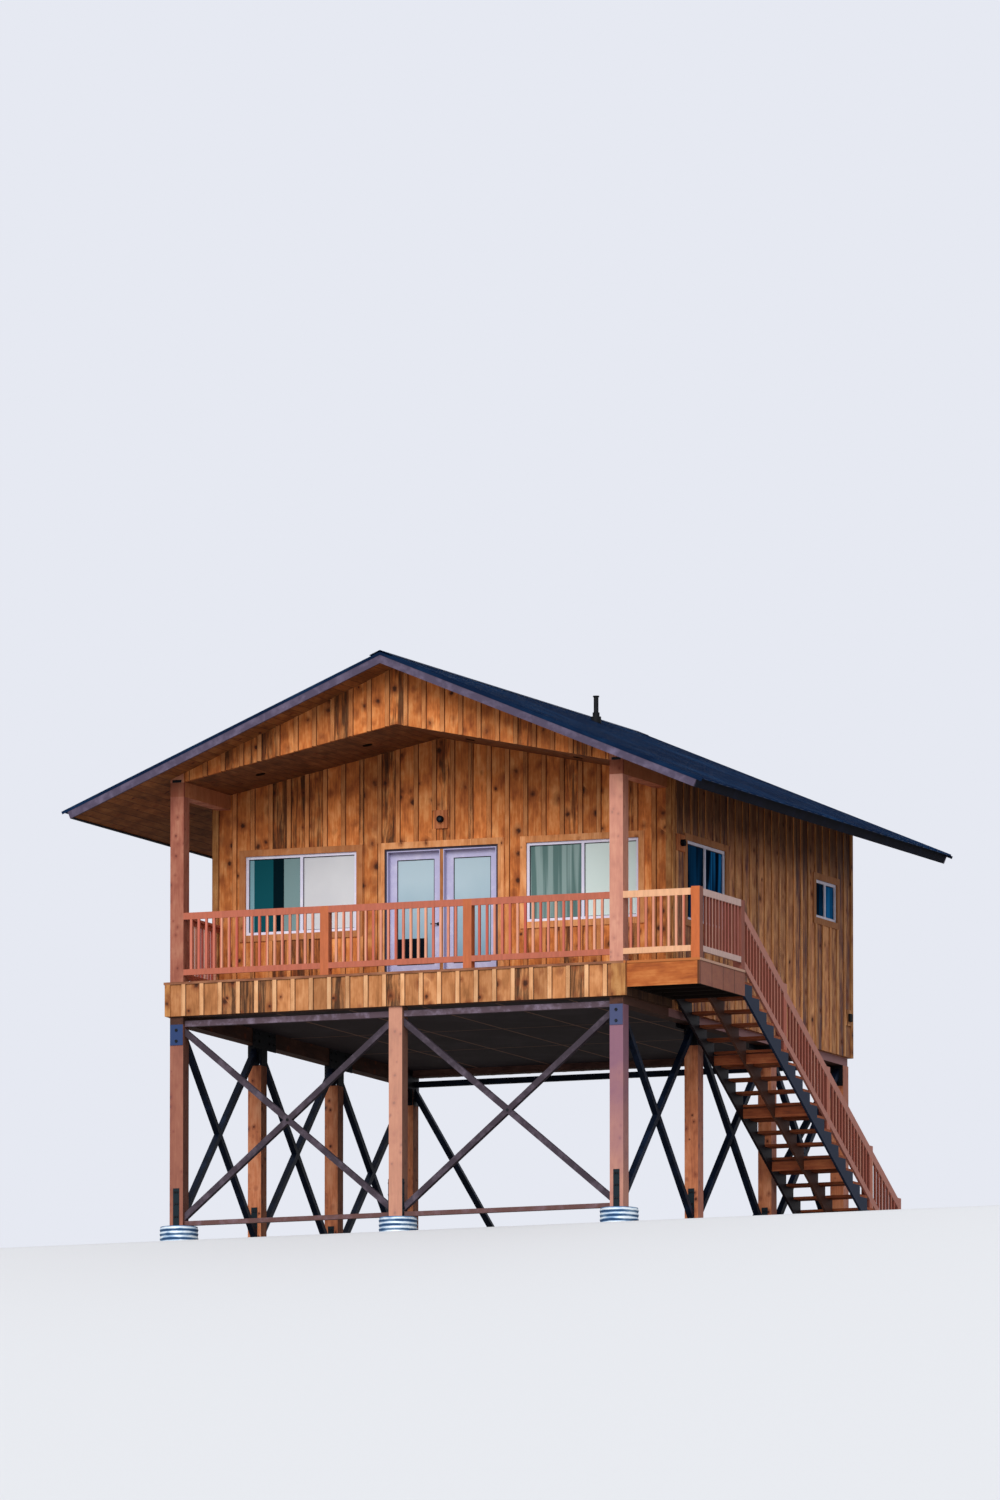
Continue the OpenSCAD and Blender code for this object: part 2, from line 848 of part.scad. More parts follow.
// Slab that follows the slope, with its eave cut square to it
module slope_slab(z, x, d) {
    t = d * cos(slope_a);
    polygon([[0, z], [x, on_slope(z, x)],
        [x - t * sin(slope_a), on_slope(z, x) - t * cos(slope_a)], [0, z - d]]);
}

module roof_slab() {
    color(timber) elevation(slab_y, slab_l) slope_slab(rafter_top, rafter_x, rafter_d);
}

module roof_right() { roof_slab(); }
module roof_left() { mirror([1, 0, 0]) roof_slab(); }

module metal_sheet() {
    x = rafter_x + (barge_t + metal_out) * cos(slope_a);
    color(metal_blue) {
        elevation(roof_y + rake_t + board_gap, roof_l - 2 * (rake_t + board_gap))
            slope_slab(metal_z, x, metal_t);
        for (y = [roof_y, roof_y + roof_l - rake_t]) elevation(y, rake_t) slope_slab(metal_z, x, rake_h);
        for (i = [0:ribs])
            elevation(first_rib_y + i * rib_gap, rib_w) slope_slab(rib_top, x, rib_h + metal_t / 2);
    }
}

module roof_metal_right() { metal_sheet(); }
module roof_metal_left() { mirror([1, 0, 0]) metal_sheet(); }

module ridge_cap() {
    low = rib_top + slope_gap;
    top = low + cap_t;
    g = board_gap / 2;
    color(metal_blue) both_sides() elevation(roof_y, roof_l)
        polygon([[g, on_slope(low, g)], [cap_w, on_slope(low, cap_w)],
            [cap_w, on_slope(top, cap_w)], [g, on_slope(top, g)]]);
}

module barge_boards() {
    x = rafter_x + barge_t * cos(slope_a);
    top = rafter_top - slope_gap;
    color(trim_grey) for (y = [slab_y - barge_t, slab_y + slab_l])
        elevation(y, barge_t) {
            slope_slab(top, x, barge_d);
            mirror([1, 0]) slope_slab(top, x, barge_d);
        }
}

module eave_fascias() {
    h = barge_d * cos(slope_a);
    color(trim_grey) both_sides()
        translate([rafter_x, slab_y, on_slope(rafter_top, rafter_x)]) rotate([0, slope_a, 0])
            translate([slope_gap, 0, -h - slope_gap]) cube([barge_t - slope_gap, slab_l, h]);
}

module vent_pipe() {
    color(black) difference() {
        translate([vent_x, vent_y, on_slope(metal_z, vent_x) - vent_d / 2])
            cylinder(d = vent_d, h = vent_h + vent_d / 2);
        elevation(vent_y - vent_d, 2 * vent_d) slope_slab(metal_z, rafter_x, rafter_d);
    }
}

// Railings

// Level rail panel along x from 0 to l at height 0, with its outer faces on y = 0
module level_rail(l) {
    n = max(1, round(l / baluster_gap) - 1);
    step = l / (n + 1);
    h = rail_h - rail_cap_h - rail_board_h;
    translate([0, 0, rail_h - rail_cap_h]) cube([l, rail_cap_w, rail_cap_h]);
    translate([0, 0, h]) cube([l, rail_t, rail_board_h]);
    translate([0, 0, low_rail_gap]) cube([l, rail_t, low_rail_h]);
    for (i = [1:n])
        translate([i * step - baluster_w / 2, (rail_t - baluster_w) / 2, low_rail_gap + low_rail_h / 2])
            cube([baluster_w, baluster_w, h - low_rail_gap - low_rail_h / 2]);
}

module newel(x, y, z0, z1) {
    translate([x, y, z0]) cube([newel_w, newel_w, z1 - z0]);
}

module porch_rails() {
    span = post_in - mid_newel_x - newel_w / 2;
    color(timber) {
        both_sides() newel(mid_newel_x - newel_w / 2, front_y, deck_z, rail_top);
        translate([-mid_newel_x + newel_w / 2, front_y, deck_z]) level_rail(2 * mid_newel_x - newel_w);
        both_sides() translate([mid_newel_x + newel_w / 2, front_y, deck_z]) level_rail(span);
        translate([-post_out, wall_y, deck_z]) rotate([0, 0, -90]) level_rail(porch_d - post_w);
    }
}

// Landing

module landing_frame() {
    color(rough_timber) {
        for (x = [wall_out, landing_out - rim_t]) box(x, x + rim_t, front_y, landing_y, rim_z, platform_z);
        for (i = [0:4]) {
            y = front_y + i * (landing_d - rim_t) / 4;
            box(wall_out + rim_t + board_gap, landing_out - rim_t - board_gap, y, y + rim_t,
                rim_z, platform_z);
        }
    }
}

module landing_deck() {
    color(timber)
        box(wall_out, landing_out + landing_nose, front_y - landing_nose, landing_y, platform_z, deck_z);
}

module landing_rails() {
    color(timber) {
        newel(landing_out - newel_w, front_y, deck_z, rail_top + newel_up);
        newel(landing_out - newel_w, landing_y - newel_w, deck_z, rail_top);
        translate([post_out, front_y, deck_z]) level_rail(landing_out - newel_w - post_out);
        translate([landing_out, front_y + newel_w, deck_z])
            rotate([0, 0, 90]) level_rail(landing_d - 2 * newel_w);
    }
}

// Stair

// Saw-toothed stringer seen from the side, with its foot cut level on the ground
module stringer() {
    seats = [for (i = [1:treads]) each [
        [landing_y + (i - 1) * tread_run, deck_z - i * rise - tread_t],
        [landing_y + i * tread_run, deck_z - i * rise - tread_t]]];
    foot_y = landing_y + stringer_top_z / stair_pitch;
    polygon(concat([[landing_y, stringer_top_z]], seats, [[landing_y + stair_l, 0], [foot_y, 0]]));
}

module stair_stringers() {
    color(dark_steel) for (x = stringer_xs) side_view(x, stringer_t) stringer();
}

module stair_treads() {
    color(rough_timber) for (i = [1:treads])
        box(stringer_xs[0], landing_out, landing_y + (i - 1) * tread_run + tread_nose,
            landing_y + i * tread_run + tread_nose, deck_z - i * rise - tread_t, deck_z - i * rise);
}

module stair_blocks() {
    color(rough_timber) for (tread = block_treads, bay = [0, 1]) {
        y = landing_y + tread * tread_run;
        z = stringer_top_z - stair_pitch * (y - landing_y) + block_up;
        box(stringer_xs[bay] + stringer_t, stringer_xs[bay + 1], y, y + rim_t, z, z + block_h);
    }
}

function nosing(y) = deck_z - stair_pitch * (y - landing_y);
function newel_y(tread) = landing_y + (tread - newel_share) * tread_run - newel_w / 2;

// Board of height h along the nosings from y0 to y1, with its lower edge a height up above them
module sloped_board(y0, y1, up, h) {
    z0 = nosing(y0) + up;
    z1 = nosing(y1) + up;
    polygon([[y0, z0], [y1, z1], [y1, z1 + h], [y0, z0 + h]]);
}

// Sloped rail panel between two newels, with its top a height up above the nosings
module sloped_rail(y0, y1, up) {
    n = round((y1 - y0) / baluster_gap) - 1;
    step = (y1 - y0) / (n + 1);
    x1 = landing_out - (rail_t - baluster_w) / 2;
    side_view(landing_out - rail_t, rail_t) {
        sloped_board(y0, y1, up - stair_cap_h, stair_cap_h);
        sloped_board(y0, y1, stair_board_gap, stair_board_h);
    }
    for (i = [1:n]) {
        y = y0 + i * step;
        box(x1 - baluster_w, x1, y - baluster_w / 2, y + baluster_w / 2,
            nosing(y) + stair_board_gap + stair_board_h / 2, nosing(y) + up - stair_cap_h / 2);
    }
}

module stair_rails() {
    ys = concat([landing_y - newel_w], [for (t = newel_treads) newel_y(t)]);
    color(timber) for (i = [0:len(newel_treads) - 1]) {
        up = stair_rail_h + (i == 0 ? stair_rail_up : 0);
        z0 = deck_z - newel_treads[i] * rise;
        newel(landing_out - newel_w, ys[i + 1], z0, nosing(ys[i + 1]) + up);
        sloped_rail(ys[i] + newel_w, ys[i + 1], up);
    }
}

// Lights

// Round lamp on a wooden block, with its back on the plane z = 0
module wall_lamp(w, h) {
    translate([-w / 2, -h / 2, 0]) cube([w, h, lamp_block_t]);
    translate([0, 0, lamp_block_t]) cylinder(r = lamp_r, h = lamp_h);
}

module ceiling_lamp(x) {
    translate([x, spot_y, on_ceiling(x)]) rotate([0, atan(ceiling_slope), 0])
        translate([0, 0, -spot_h - slope_gap]) cylinder(r = spot_r, h = spot_h);
}

module lights() {
    color(timber) {
        translate([0, wall_y, porch_lamp_z]) rotate([90, 0, 0]) wall_lamp(porch_block_w, porch_block_h);
        translate([wall_out, side_lamp_y, side_lamp_z]) rotate([90, 0, 90])
            wall_lamp(side_block_w, side_block_h);
    }
    color(vinyl) both_sides() for (x = spot_xs) ceiling_lamp(x);
}

// Covered outlet on a block, low on the right wall
module outlet() {
    color(timber) translate([wall_out, outlet_y - outlet_w / 2, outlet_z]) {
        cube([lamp_block_t, outlet_w, outlet_h]);
        translate([lamp_block_t, (outlet_w - outlet_box[1]) / 2, (outlet_h - outlet_box[2]) / 2])
            cube(outlet_box);
    }
}

piers();
front_posts();
side_posts();
steel_plates();
front_braces();
left_braces();
right_braces();
back_braces();
front_struts();
side_beams();
end_beams();
underside_panel();
floor_platform();
porch_deck();
room_floor();
front_skirt();
side_skirts();
rear_skirt();
porch_posts();
porch_beams();
gable_face();
porch_ceiling();
room_ceiling();
front_wall_left();
front_wall_right();
front_wall_head();
left_wall();
right_wall();
rear_wall();
window_frames();
window_glass();
casings();
door_frame();
door_hinges();
left_door();
left_door_glass();
door_handle();
right_door();
right_door_glass();
roof_left();
roof_right();
roof_metal_left();
roof_metal_right();
ridge_cap();
barge_boards();
eave_fascias();
vent_pipe();
porch_rails();
landing_frame();
landing_deck();
landing_rails();
stair_stringers();
stair_treads();
stair_rails();
stair_blocks();
lights();
outlet();
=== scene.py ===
import math

import bpy
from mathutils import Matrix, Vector


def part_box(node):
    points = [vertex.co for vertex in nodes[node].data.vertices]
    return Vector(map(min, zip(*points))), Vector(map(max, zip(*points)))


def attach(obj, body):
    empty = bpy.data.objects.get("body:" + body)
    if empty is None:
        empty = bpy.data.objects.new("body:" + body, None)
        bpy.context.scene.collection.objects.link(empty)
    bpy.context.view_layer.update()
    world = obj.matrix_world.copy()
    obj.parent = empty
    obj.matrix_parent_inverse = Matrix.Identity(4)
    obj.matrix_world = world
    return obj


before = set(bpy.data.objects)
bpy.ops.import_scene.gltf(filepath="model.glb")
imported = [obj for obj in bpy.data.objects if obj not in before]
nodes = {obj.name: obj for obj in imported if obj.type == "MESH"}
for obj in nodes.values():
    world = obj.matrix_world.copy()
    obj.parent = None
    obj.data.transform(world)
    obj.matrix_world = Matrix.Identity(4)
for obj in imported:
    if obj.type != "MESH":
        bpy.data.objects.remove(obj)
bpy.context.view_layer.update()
scene = bpy.context.scene
print("frame loaded:", len(nodes), "nodes")

# Places of the building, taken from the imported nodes
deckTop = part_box("porch_deck")[1].z
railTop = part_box("porch_rails")[1].z
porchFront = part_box("porch_posts")[0].y
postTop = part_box("porch_posts")[1].z
landingLow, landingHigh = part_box("landing_deck")
wall = {"front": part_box("front_wall_head")[0].y, "side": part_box("right_wall")[1].x,
        "rear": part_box("rear_wall")[1].y, "foot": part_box("front_skirt")[0].z,
        "skirtFront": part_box("front_skirt")[0].y, "skirtTop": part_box("front_skirt")[1].z}
posts = {"x": 3.658, "half": 0.111, "rowGap": 3.048, "rows": 4}
outerX = 3.0  # what lies farther out than this belongs to the outer posts and walls
skin = 0.01  # allowance of a mask that picks the faces on one plane


def linear(hexColour):
    parts = [int(hexColour[i:i + 2], 16) / 255 for i in (1, 3, 5)]
    return tuple(c / 12.92 if c <= 0.04045 else ((c + 0.055) / 1.055) ** 2.4 for c in parts) + (1,)


def put(tree, kind, ins=None, **props):
    node = tree.nodes.new(kind)
    for key, value in props.items():
        setattr(node, key, value)
    for key, value in (ins or {}).items():
        if isinstance(value, bpy.types.NodeSocket):
            tree.links.new(value, node.inputs[key])
        else:
            node.inputs[key].default_value = value
    return node


class Paint:  # a material with its node tree and short ways to add nodes
    def __init__(self, name):
        self.mat = bpy.data.materials.new(name)
        self.mat.use_nodes = True
        self.tree = self.mat.node_tree
        self.tree.nodes.clear()
        self.place = put(self.tree, "ShaderNodeTexCoord").outputs["Object"]
        self.x, self.y, self.z = put(self.tree, "ShaderNodeSeparateXYZ", {0: self.place}).outputs
        normal = put(self.tree, "ShaderNodeNewGeometry").outputs["Normal"]
        parts = put(self.tree, "ShaderNodeSeparateXYZ", {0: normal}).outputs
        self.normal = {axis: self.calc("ABSOLUTE", part) for axis, part in zip("xyz", parts)}
        self.away = self.calc("ABSOLUTE", self.x)  # distance from the middle of the building

    def calc(self, op, a, b=None):
        ins = {i: v for i, v in enumerate((a, b)) if v is not None}
        return put(self.tree, "ShaderNodeMath", ins, operation=op).outputs[0]

    def times(self, a, b):
        return self.calc("MULTIPLY", a, b)

    def over(self, a, limit):
        return self.calc("GREATER_THAN", a, limit)

    def under(self, a, limit):
        return self.calc("LESS_THAN", a, limit)

    def plus(self, a, b):
        return self.calc("ADD", a, b)

    def minus(self, a, b):
        return self.calc("SUBTRACT", a, b)

    def either(self, a, b):  # joins two masks by the larger value
        return self.calc("MAXIMUM", a, b)

    def between(self, a, low, high):
        return self.times(self.over(a, low), self.under(a, high))

    def facing(self, axis, limit=0.5):  # 1 on faces that look along the axis, either way
        return self.over(self.normal[axis], limit)

    def where(self, first, *masks):  # 1 where all the masks are 1
        for mask in masks:
            first = self.times(first, mask)
        return first

    def pick(self, mask, a, b):  # number a where the mask is 0, b where it is 1
        return put(self.tree, "ShaderNodeMix", {0: mask, 2: a, 3: b}).outputs[0]

    def blend(self, mask, a, b, how="MIX"):  # the same for colours
        a, b = (linear(v) if isinstance(v, str) else v for v in (a, b))
        return put(self.tree, "ShaderNodeMix", {0: mask, 6: a, 7: b}, data_type="RGBA",
                   blend_type=how).outputs[2]

    def tint(self, colour, mask, tone, share=1.0):
        return self.blend(self.times(mask, share), colour, tone)

    def shade(self, colour, value):
        return self.blend(1.0, colour, self.vec(value, value, value), "MULTIPLY")

    def bands(self, axis, colour, *later):  # each later colour starts at its own limit
        for limit, tone in later:
            colour = self.blend(self.over(axis, limit), colour, tone)
        return colour

    def vec(self, x, y, z):
        return put(self.tree, "ShaderNodeCombineXYZ", {0: x, 1: y, 2: z}).outputs[0]

    def stretched(self, scales, axes=None):
        axes = axes or (self.x, self.y, self.z)
        return self.vec(*(self.times(axis, scale) for axis, scale in zip(axes, scales)))

    def noise(self, vector, scale=1.0, detail=3.0, rough=0.55, twist=0.0):
        return put(self.tree, "ShaderNodeTexNoise", {"Vector": vector, "Scale": scale, "Detail": detail,
                   "Roughness": rough, "Distortion": twist}).outputs["Fac"]

    def chance(self, number, salt):
        return put(self.tree, "ShaderNodeTexWhiteNoise", {"W": self.plus(number, salt)},
                   noise_dimensions="1D").outputs["Value"]

    def ramp(self, value, stops):
        stops = list(stops)
        node = put(self.tree, "ShaderNodeValToRGB", {0: value})
        ends = node.color_ramp.elements
        while len(ends) < len(stops):
            ends.new(0.5)
        for end, (spot, colour) in zip(ends, stops):
            end.position = spot
            end.color = linear(colour) if isinstance(colour, str) else (colour,) * 3 + (1,)
        return node.outputs["Color"]

    def surface(self, colour, rough=0.7, metal=0.0, gloss=0.4, bump=None, strength=0.3, depth=0.004):
        ins = {"Roughness": rough, "Metallic": metal, "Specular IOR Level": gloss,
               "Base Color": linear(colour) if isinstance(colour, str) else colour}
        if bump is not None:
            ins["Normal"] = put(self.tree, "ShaderNodeBump", {"Height": bump, "Strength": strength,
                                "Distance": depth}).outputs[0]
        return self.close(put(self.tree, "ShaderNodeBsdfPrincipled", ins).outputs[0])

    def close(self, shader):
        put(self.tree, "ShaderNodeOutputMaterial", {0: shader})
        return self.mat


def dress(mat, *names):
    for name in names:
        mesh = nodes[name].data
        mesh.materials.clear()
        mesh.materials.append(mat)


# Wood: boards with their own tone, long grain, knots and dark streaks
woodGrain = {"fine": (30.0, 2.0), "broad": (6.0, 2.6), "streaks": (13.0, 0.9),  # scales across and along
             "fineShare": 0.35, "steps": (0.33, 0.5, 0.67), "streakEdges": (0.46, 0.58), "streakShare": 0.85,
             "line": "#2b1810", "lineShare": 0.8, "slide": 40.0, "salts": (0.3, 11.7, 23.1), "loose": 97.0}
knotLook = {"scale": 4.6, "run": 0.85, "rowStep": 7.3, "wave": 16.0, "bend": 0.22, "sizes": (0.45, 1.5),
            "halo": "#7a3a1c", "haloShare": 0.7, "haloReach": (0.12, 0.36),
            "heart": "#351a10", "heartShare": 0.9, "heartReach": (0.07, 0.15)}


def knots(p, look, colour, board, across, other, moved):
    wave = p.noise(p.vec(across, other, moved), knotLook["wave"], 2.0)
    row = p.vec(across, p.times(board, knotLook["rowStep"]), p.times(moved, knotLook["run"]))
    cells = put(p.tree, "ShaderNodeTexVoronoi", {
        "Vector": row, "Scale": look.get("knotScale", knotLook["scale"])}).outputs
    bend = p.times(p.minus(wave, 0.5), knotLook["bend"])
    kind = put(p.tree, "ShaderNodeSeparateColor", {0: cells["Color"]}).outputs[0]
    size = p.pick(kind, *(look["knots"] * share for share in knotLook["sizes"]))
    reach = p.calc("DIVIDE", p.plus(cells["Distance"], bend), size)
    halo, heart = (p.ramp(reach, zip(knotLook[part], (1.0, 0.0))) for part in ("haloReach", "heartReach"))
    colour = p.tint(colour, halo, look.get("halo", knotLook["halo"]), knotLook["haloShare"])
    return p.tint(colour, heart, knotLook["heart"], knotLook["heartShare"])


def jointGapsAndShadeLines(p, look, colour, places):  # dark lines at set distances from the joints: dark gaps between deck and floor boards, and painted shade beside the battens on the siding
    away = p.calc("ABSOLUTE", p.minus(p.calc("FRACT", places), 0.5))
    low, high = look["line"]
    mask = p.between(away, 0.5 - high / look["pitch"], 0.5 - low / look["pitch"])
    return p.tint(colour, mask, woodGrain["line"], woodGrain["lineShare"])


def wood(name, look):
    p = Paint(name)
    run = look.get("run", "z")
    turned = p.facing("x" if run == "z" else "z")
    first, second, along = {"z": (p.x, p.y, p.z), "x": (p.z, p.y, p.x), "y": (p.z, p.x, p.y)}[run]
    across, other = p.pick(turned, first, second), p.pick(turned, second, first)
    places = p.calc("DIVIDE", p.plus(across, look.get("shift", 0.0)), look["pitch"])
    board = p.calc("FLOOR", places)
    if look.get("loose"):  # loose boards carry their own number
        board = p.times(put(p.tree, "ShaderNodeAttribute", attribute_name="tone").outputs["Fac"],
                        woodGrain["loose"])
    luck, toneLuck, streakLuck = (p.chance(board, salt) for salt in woodGrain["salts"])
    moved = p.plus(along, p.times(luck, woodGrain["slide"]))

    def field(kind, **detail):
        wide, lengthways = woodGrain[kind]
        return p.noise(p.stretched((wide, wide, lengthways), (across, other, moved)), **detail)

    fine = field("fine", detail=4.0, twist=0.8)
    broad = field("broad", detail=3.0, rough=0.6)
    grain = p.pick(woodGrain["fineShare"], broad, fine)
    colour = p.ramp(grain, zip(woodGrain["steps"], (look["dark"], look["mid"], look["light"])))
    colour = p.shade(colour, p.pick(toneLuck, *look.get("spread", (0.8, 1.14))))
    if look.get("streaks"):
        start, end = woodGrain["streakEdges"]
        mark = p.ramp(field("streaks", detail=6.0, rough=0.72, twist=0.5),
                      [(look.get("streakEdge", start), 0.0), (end, 1.0)])
        mark = p.where(mark, p.over(streakLuck, 1 - look["streaks"]))
        colour = p.tint(colour, mark, look["streak"], woodGrain["streakShare"])
    if look.get("knots"):
        colour = knots(p, look, colour, board, across, other, moved)
    if look.get("line"):
        colour = jointGapsAndShadeLines(p, look, colour, places)
    for change in look.get("changes", ()):
        colour = change(p, colour)
    return p.surface(colour, rough=0.75, gloss=0.2, bump=grain, strength=0.35, depth=0.006)


# Siding: upright boards, whose joints lie under the battens
cladding = {"pitch": 0.305, "battenWidth": 0.064, "battenDepth": 0.019, "shortest": 0.05,
            "cornerGap": 0.1, "gableGap": 0.2, "intoCeiling": 0.01, "wallShift": 0.035, "gableShift": 0.017,
            "skirtShift": -0.015, "sideShift": 0.127}
# painted shade: the line entries of the siding darken the boards just beside each batten edge, where the
# batten's shadow falls
cedarFront = {"pitch": cladding["pitch"], "dark": "#934b25", "mid": "#cb763b", "light": "#e8a164",
              "spread": (0.82, 1.2), "streaks": 0.24, "streak": "#241712", "streakEdge": 0.43, "knots": 1.15,
              "line": (0.03, 0.044)}
cedarSide = {"pitch": cladding["pitch"], "shift": -cladding["sideShift"], "dark": "#70443a", "mid": "#bb7d55",
             "light": "#e2a876", "spread": (0.74, 1.2), "streaks": 0.34, "streak": "#4c3a46", "knots": 0.85,
             "line": (0.03, 0.044)}
# painted shade: the dark tone for the skirt under the landing
sidingTones = {"room": "#c69a6c", "landingShadowPaint": "#231612", "landingShadowShare": 0.85}
# painted shade of the eave on the side walls
eaveShade = {"height": 6.15, "wander": 0.4, "start": 0.05, "end": 0.65, "share": 0.72, "colour": "#3c2419"}


def frontJoints(shift):  # moves the boards so that their joints lie under the battens
    return cladding["pitch"] / 2 - shift


def roomSide(p, colour):  # plain pale boards on the faces towards the room
    lo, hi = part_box("room_floor")
    mask = p.where(p.between(p.x, lo.x - skin, hi.x + skin), p.between(p.y, lo.y - skin, hi.y + skin))
    return p.tint(colour, mask, sidingTones["room"])


def eavePaintedShade(p, colour):  # painted shade: the side walls and their battens are painted darker under the eave, where its shadow falls
    cloud = p.times(p.noise(p.place, 1.8, 3.0), eaveShade["wander"])
    height = p.plus(p.minus(p.z, eaveShade["height"]), cloud)
    mask = p.ramp(height, [(eaveShade["start"], 0.0), (eaveShade["end"], eaveShade["share"])])
    return p.tint(colour, p.where(mask, p.facing("x")), eaveShade["colour"])


def landingShadowPaint(p, colour):  # painted shade: the skirt below the landing is painted dark, for the landing's shadow
    lo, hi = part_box("landing_frame")
    mask = p.where(p.under(p.y, hi.y), p.under(p.z, lo.z), p.over(p.x, outerX))
    return p.tint(colour, mask, sidingTones["landingShadowPaint"], sidingTones["landingShadowShare"])


dress(wood("frontSiding", {**cedarFront, "shift": frontJoints(cladding["wallShift"]), "changes": [roomSide]}),
      "front_wall_left", "front_wall_right", "front_wall_head")
dress(wood("gableSiding", {**cedarFront, "shift": frontJoints(cladding["gableShift"])}), "gable_face")
dress(wood("frontSkirt", {**cedarFront, "shift": frontJoints(cladding["skirtShift"]), "dark": "#87552f",
                          "mid": "#b17447", "light": "#c98e60", "streaks": 0.15}), "front_skirt")
dress(wood("sideSiding", {**cedarSide, "changes": [eavePaintedShade, roomSide, landingShadowPaint]}),
      "left_wall", "right_wall", "rear_wall", "side_skirts", "rear_skirt")

# Posts and beams
salmon = {"pitch": 0.6, "shift": 0.3, "dark": "#8a4c39", "mid": "#b4735a", "light": "#cf9577",
          "spread": (0.95, 1.05), "knots": 1.0, "knotScale": 8.0, "halo": "#8a4634"}
porchTimber = {"left": ("#874c42", 0.55), "right": ("#d89c8c", 0.55), "beamEnds": ("#7c3f2c", 0.75),
               "beams": ("#a5683e", 0.7), "beamHeight": 0.218, "frontDepth": 0.05}
frontPostTimber = {"left": ("#7e4d49", 0.6), "others": ("#d49f8e", 0.5), "rightTop": "#7e5a74",
                   "height": 3.4, "wander": 0.5, "start": (0.4, 0.15), "end": (1.0, 0.85)}
shadedFaces = {"inner": ("#3f2723", 0.6), "nearStair": "#5f4138"}


def porchTones(p, colour):  # the left post is redder, the right one paler, and the beam ends are dark
    front = porchFront + porchTimber["frontDepth"]
    post = p.under(p.z, postTop)
    colour = p.tint(colour, p.where(post, p.under(p.x, 0.0)), *porchTimber["left"])
    colour = p.tint(colour, p.where(post, p.over(p.x, 0.0)), *porchTimber["right"])
    ends = p.where(p.between(p.z, postTop, postTop + porchTimber["beamHeight"]), p.under(p.y, front))
    colour = p.tint(colour, ends, *porchTimber["beamEnds"])
    return p.tint(colour, p.where(p.over(p.z, postTop), p.over(p.y, front)), *porchTimber["beams"])


def frontTones(p, colour):  # left post browner, the others pinker, purple grey at the top of the right one
    look = frontPostTimber
    colour = p.tint(colour, p.under(p.x, -outerX), *look["left"])
    colour = p.tint(colour, p.over(p.x, -outerX), *look["others"])
    cloud = p.times(p.noise(p.place, 2.2, 3.0), look["wander"])
    height = p.plus(p.calc("DIVIDE", p.z, look["height"]), cloud)
    mask = p.where(p.over(p.x, outerX), p.ramp(height, [look["start"], look["end"]]))
    return p.tint(colour, mask, look["rightTop"])


def innerFacesPaintedShade(p, colour):  # painted shade: the faces towards the middle of the building are darker, for the shade under the building
    return p.tint(colour, p.where(p.facing("x"), p.under(p.away, posts["x"])), *shadedFaces["inner"])


def outerFacesPaintedLight(tone, share):  # painted light: the faces that look away from the building are painted lighter, with painted shade beside the stair
    def change(p, colour):
        edge = p.over(p.away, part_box("side_beams")[1].x - skin)
        near = p.where(p.over(p.x, 0.0), p.under(p.y, landingHigh.y))
        lit = p.blend(near, tone, shadedFaces["nearStair"])
        return p.tint(colour, p.where(p.facing("x"), edge), lit, share)
    return change


dress(wood("porchTimber", {**salmon, "changes": [porchTones]}), "porch_posts", "porch_beams")
dress(wood("frontPostTimber", {**salmon, "pitch": 2.4, "dark": "#8e5940", "mid": "#ac6f52",
                               "light": "#bf8465", "spread": (0.92, 1.06),
                               "changes": [frontTones, innerFacesPaintedShade]}), "front_posts")
dress(wood("sidePostTimber", {**salmon, "dark": "#a15b41", "mid": "#cb7c55", "light": "#e09a74",
                              "changes": [outerFacesPaintedLight("#a67a78", 0.5), innerFacesPaintedShade]}), "side_posts")
dress(wood("beamTimber", {"run": "y", "pitch": 0.9, "dark": "#2f1c17", "mid": "#472b22", "light": "#5c3a2d",
                          "knots": 0.6, "changes": [outerFacesPaintedLight("#a47a7d", 0.85)]}),
      "side_beams", "floor_platform")
dress(wood("endBeamTimber", {"run": "x", "pitch": 0.9, "dark": "#3a2522", "mid": "#5a3d37",
                             "light": "#705047"}), "end_beams")

# Decks, floor and ceilings
# below is painted shade on the underside of the landing
landingEdges = {"start": 3.8, "right": "#c9a08c", "front": "#b46a38", "below": "#1c120e"}
deckBoards = {"run": "x", "pitch": 0.14, "line": (0.0, 0.004), "dark": "#6a3d2b", "mid": "#8c5a41",
              "light": "#a57354"}
ceilingBoards = {"run": "y", "pitch": 0.14, "line": (0.0, 0.004), "knots": 0.7}


def deckEdges(p, colour):  # pale end grain on the right of the landing, and painted shade: the underside of the landing is painted dark
    right = p.where(p.facing("x"), p.over(p.x, landingHigh.x - skin))
    colour = p.tint(colour, right, landingEdges["right"])
    front = p.where(p.facing("y"), p.over(p.x, landingEdges["start"]), p.under(p.y, landingLow.y + skin))
    colour = p.tint(colour, front, landingEdges["front"])
    below = p.where(p.facing("z"), p.under(p.z, landingLow.z + skin))
    return p.tint(colour, below, landingEdges["below"])


dress(wood("deckBoards", {**deckBoards, "changes": [deckEdges]}), "porch_deck", "landing_deck")
dress(wood("floorBoards", {"run": "y", "pitch": 0.12, "line": (0.0, 0.002), "dark": "#8a5c38",
                           "mid": "#a8784d", "light": "#bd9064"}), "room_floor")
dress(wood("ceilingBoards", {**ceilingBoards, "dark": "#54321d", "mid": "#76492b", "light": "#90603a",
                             "spread": (0.86, 1.12)}), "porch_ceiling", "room_ceiling")
dress(wood("soffitBoards", {**ceilingBoards, "dark": "#663a20", "mid": "#8a552e", "light": "#a26b3d",
                            "spread": (0.86, 1.1)}), "roof_left", "roof_right")

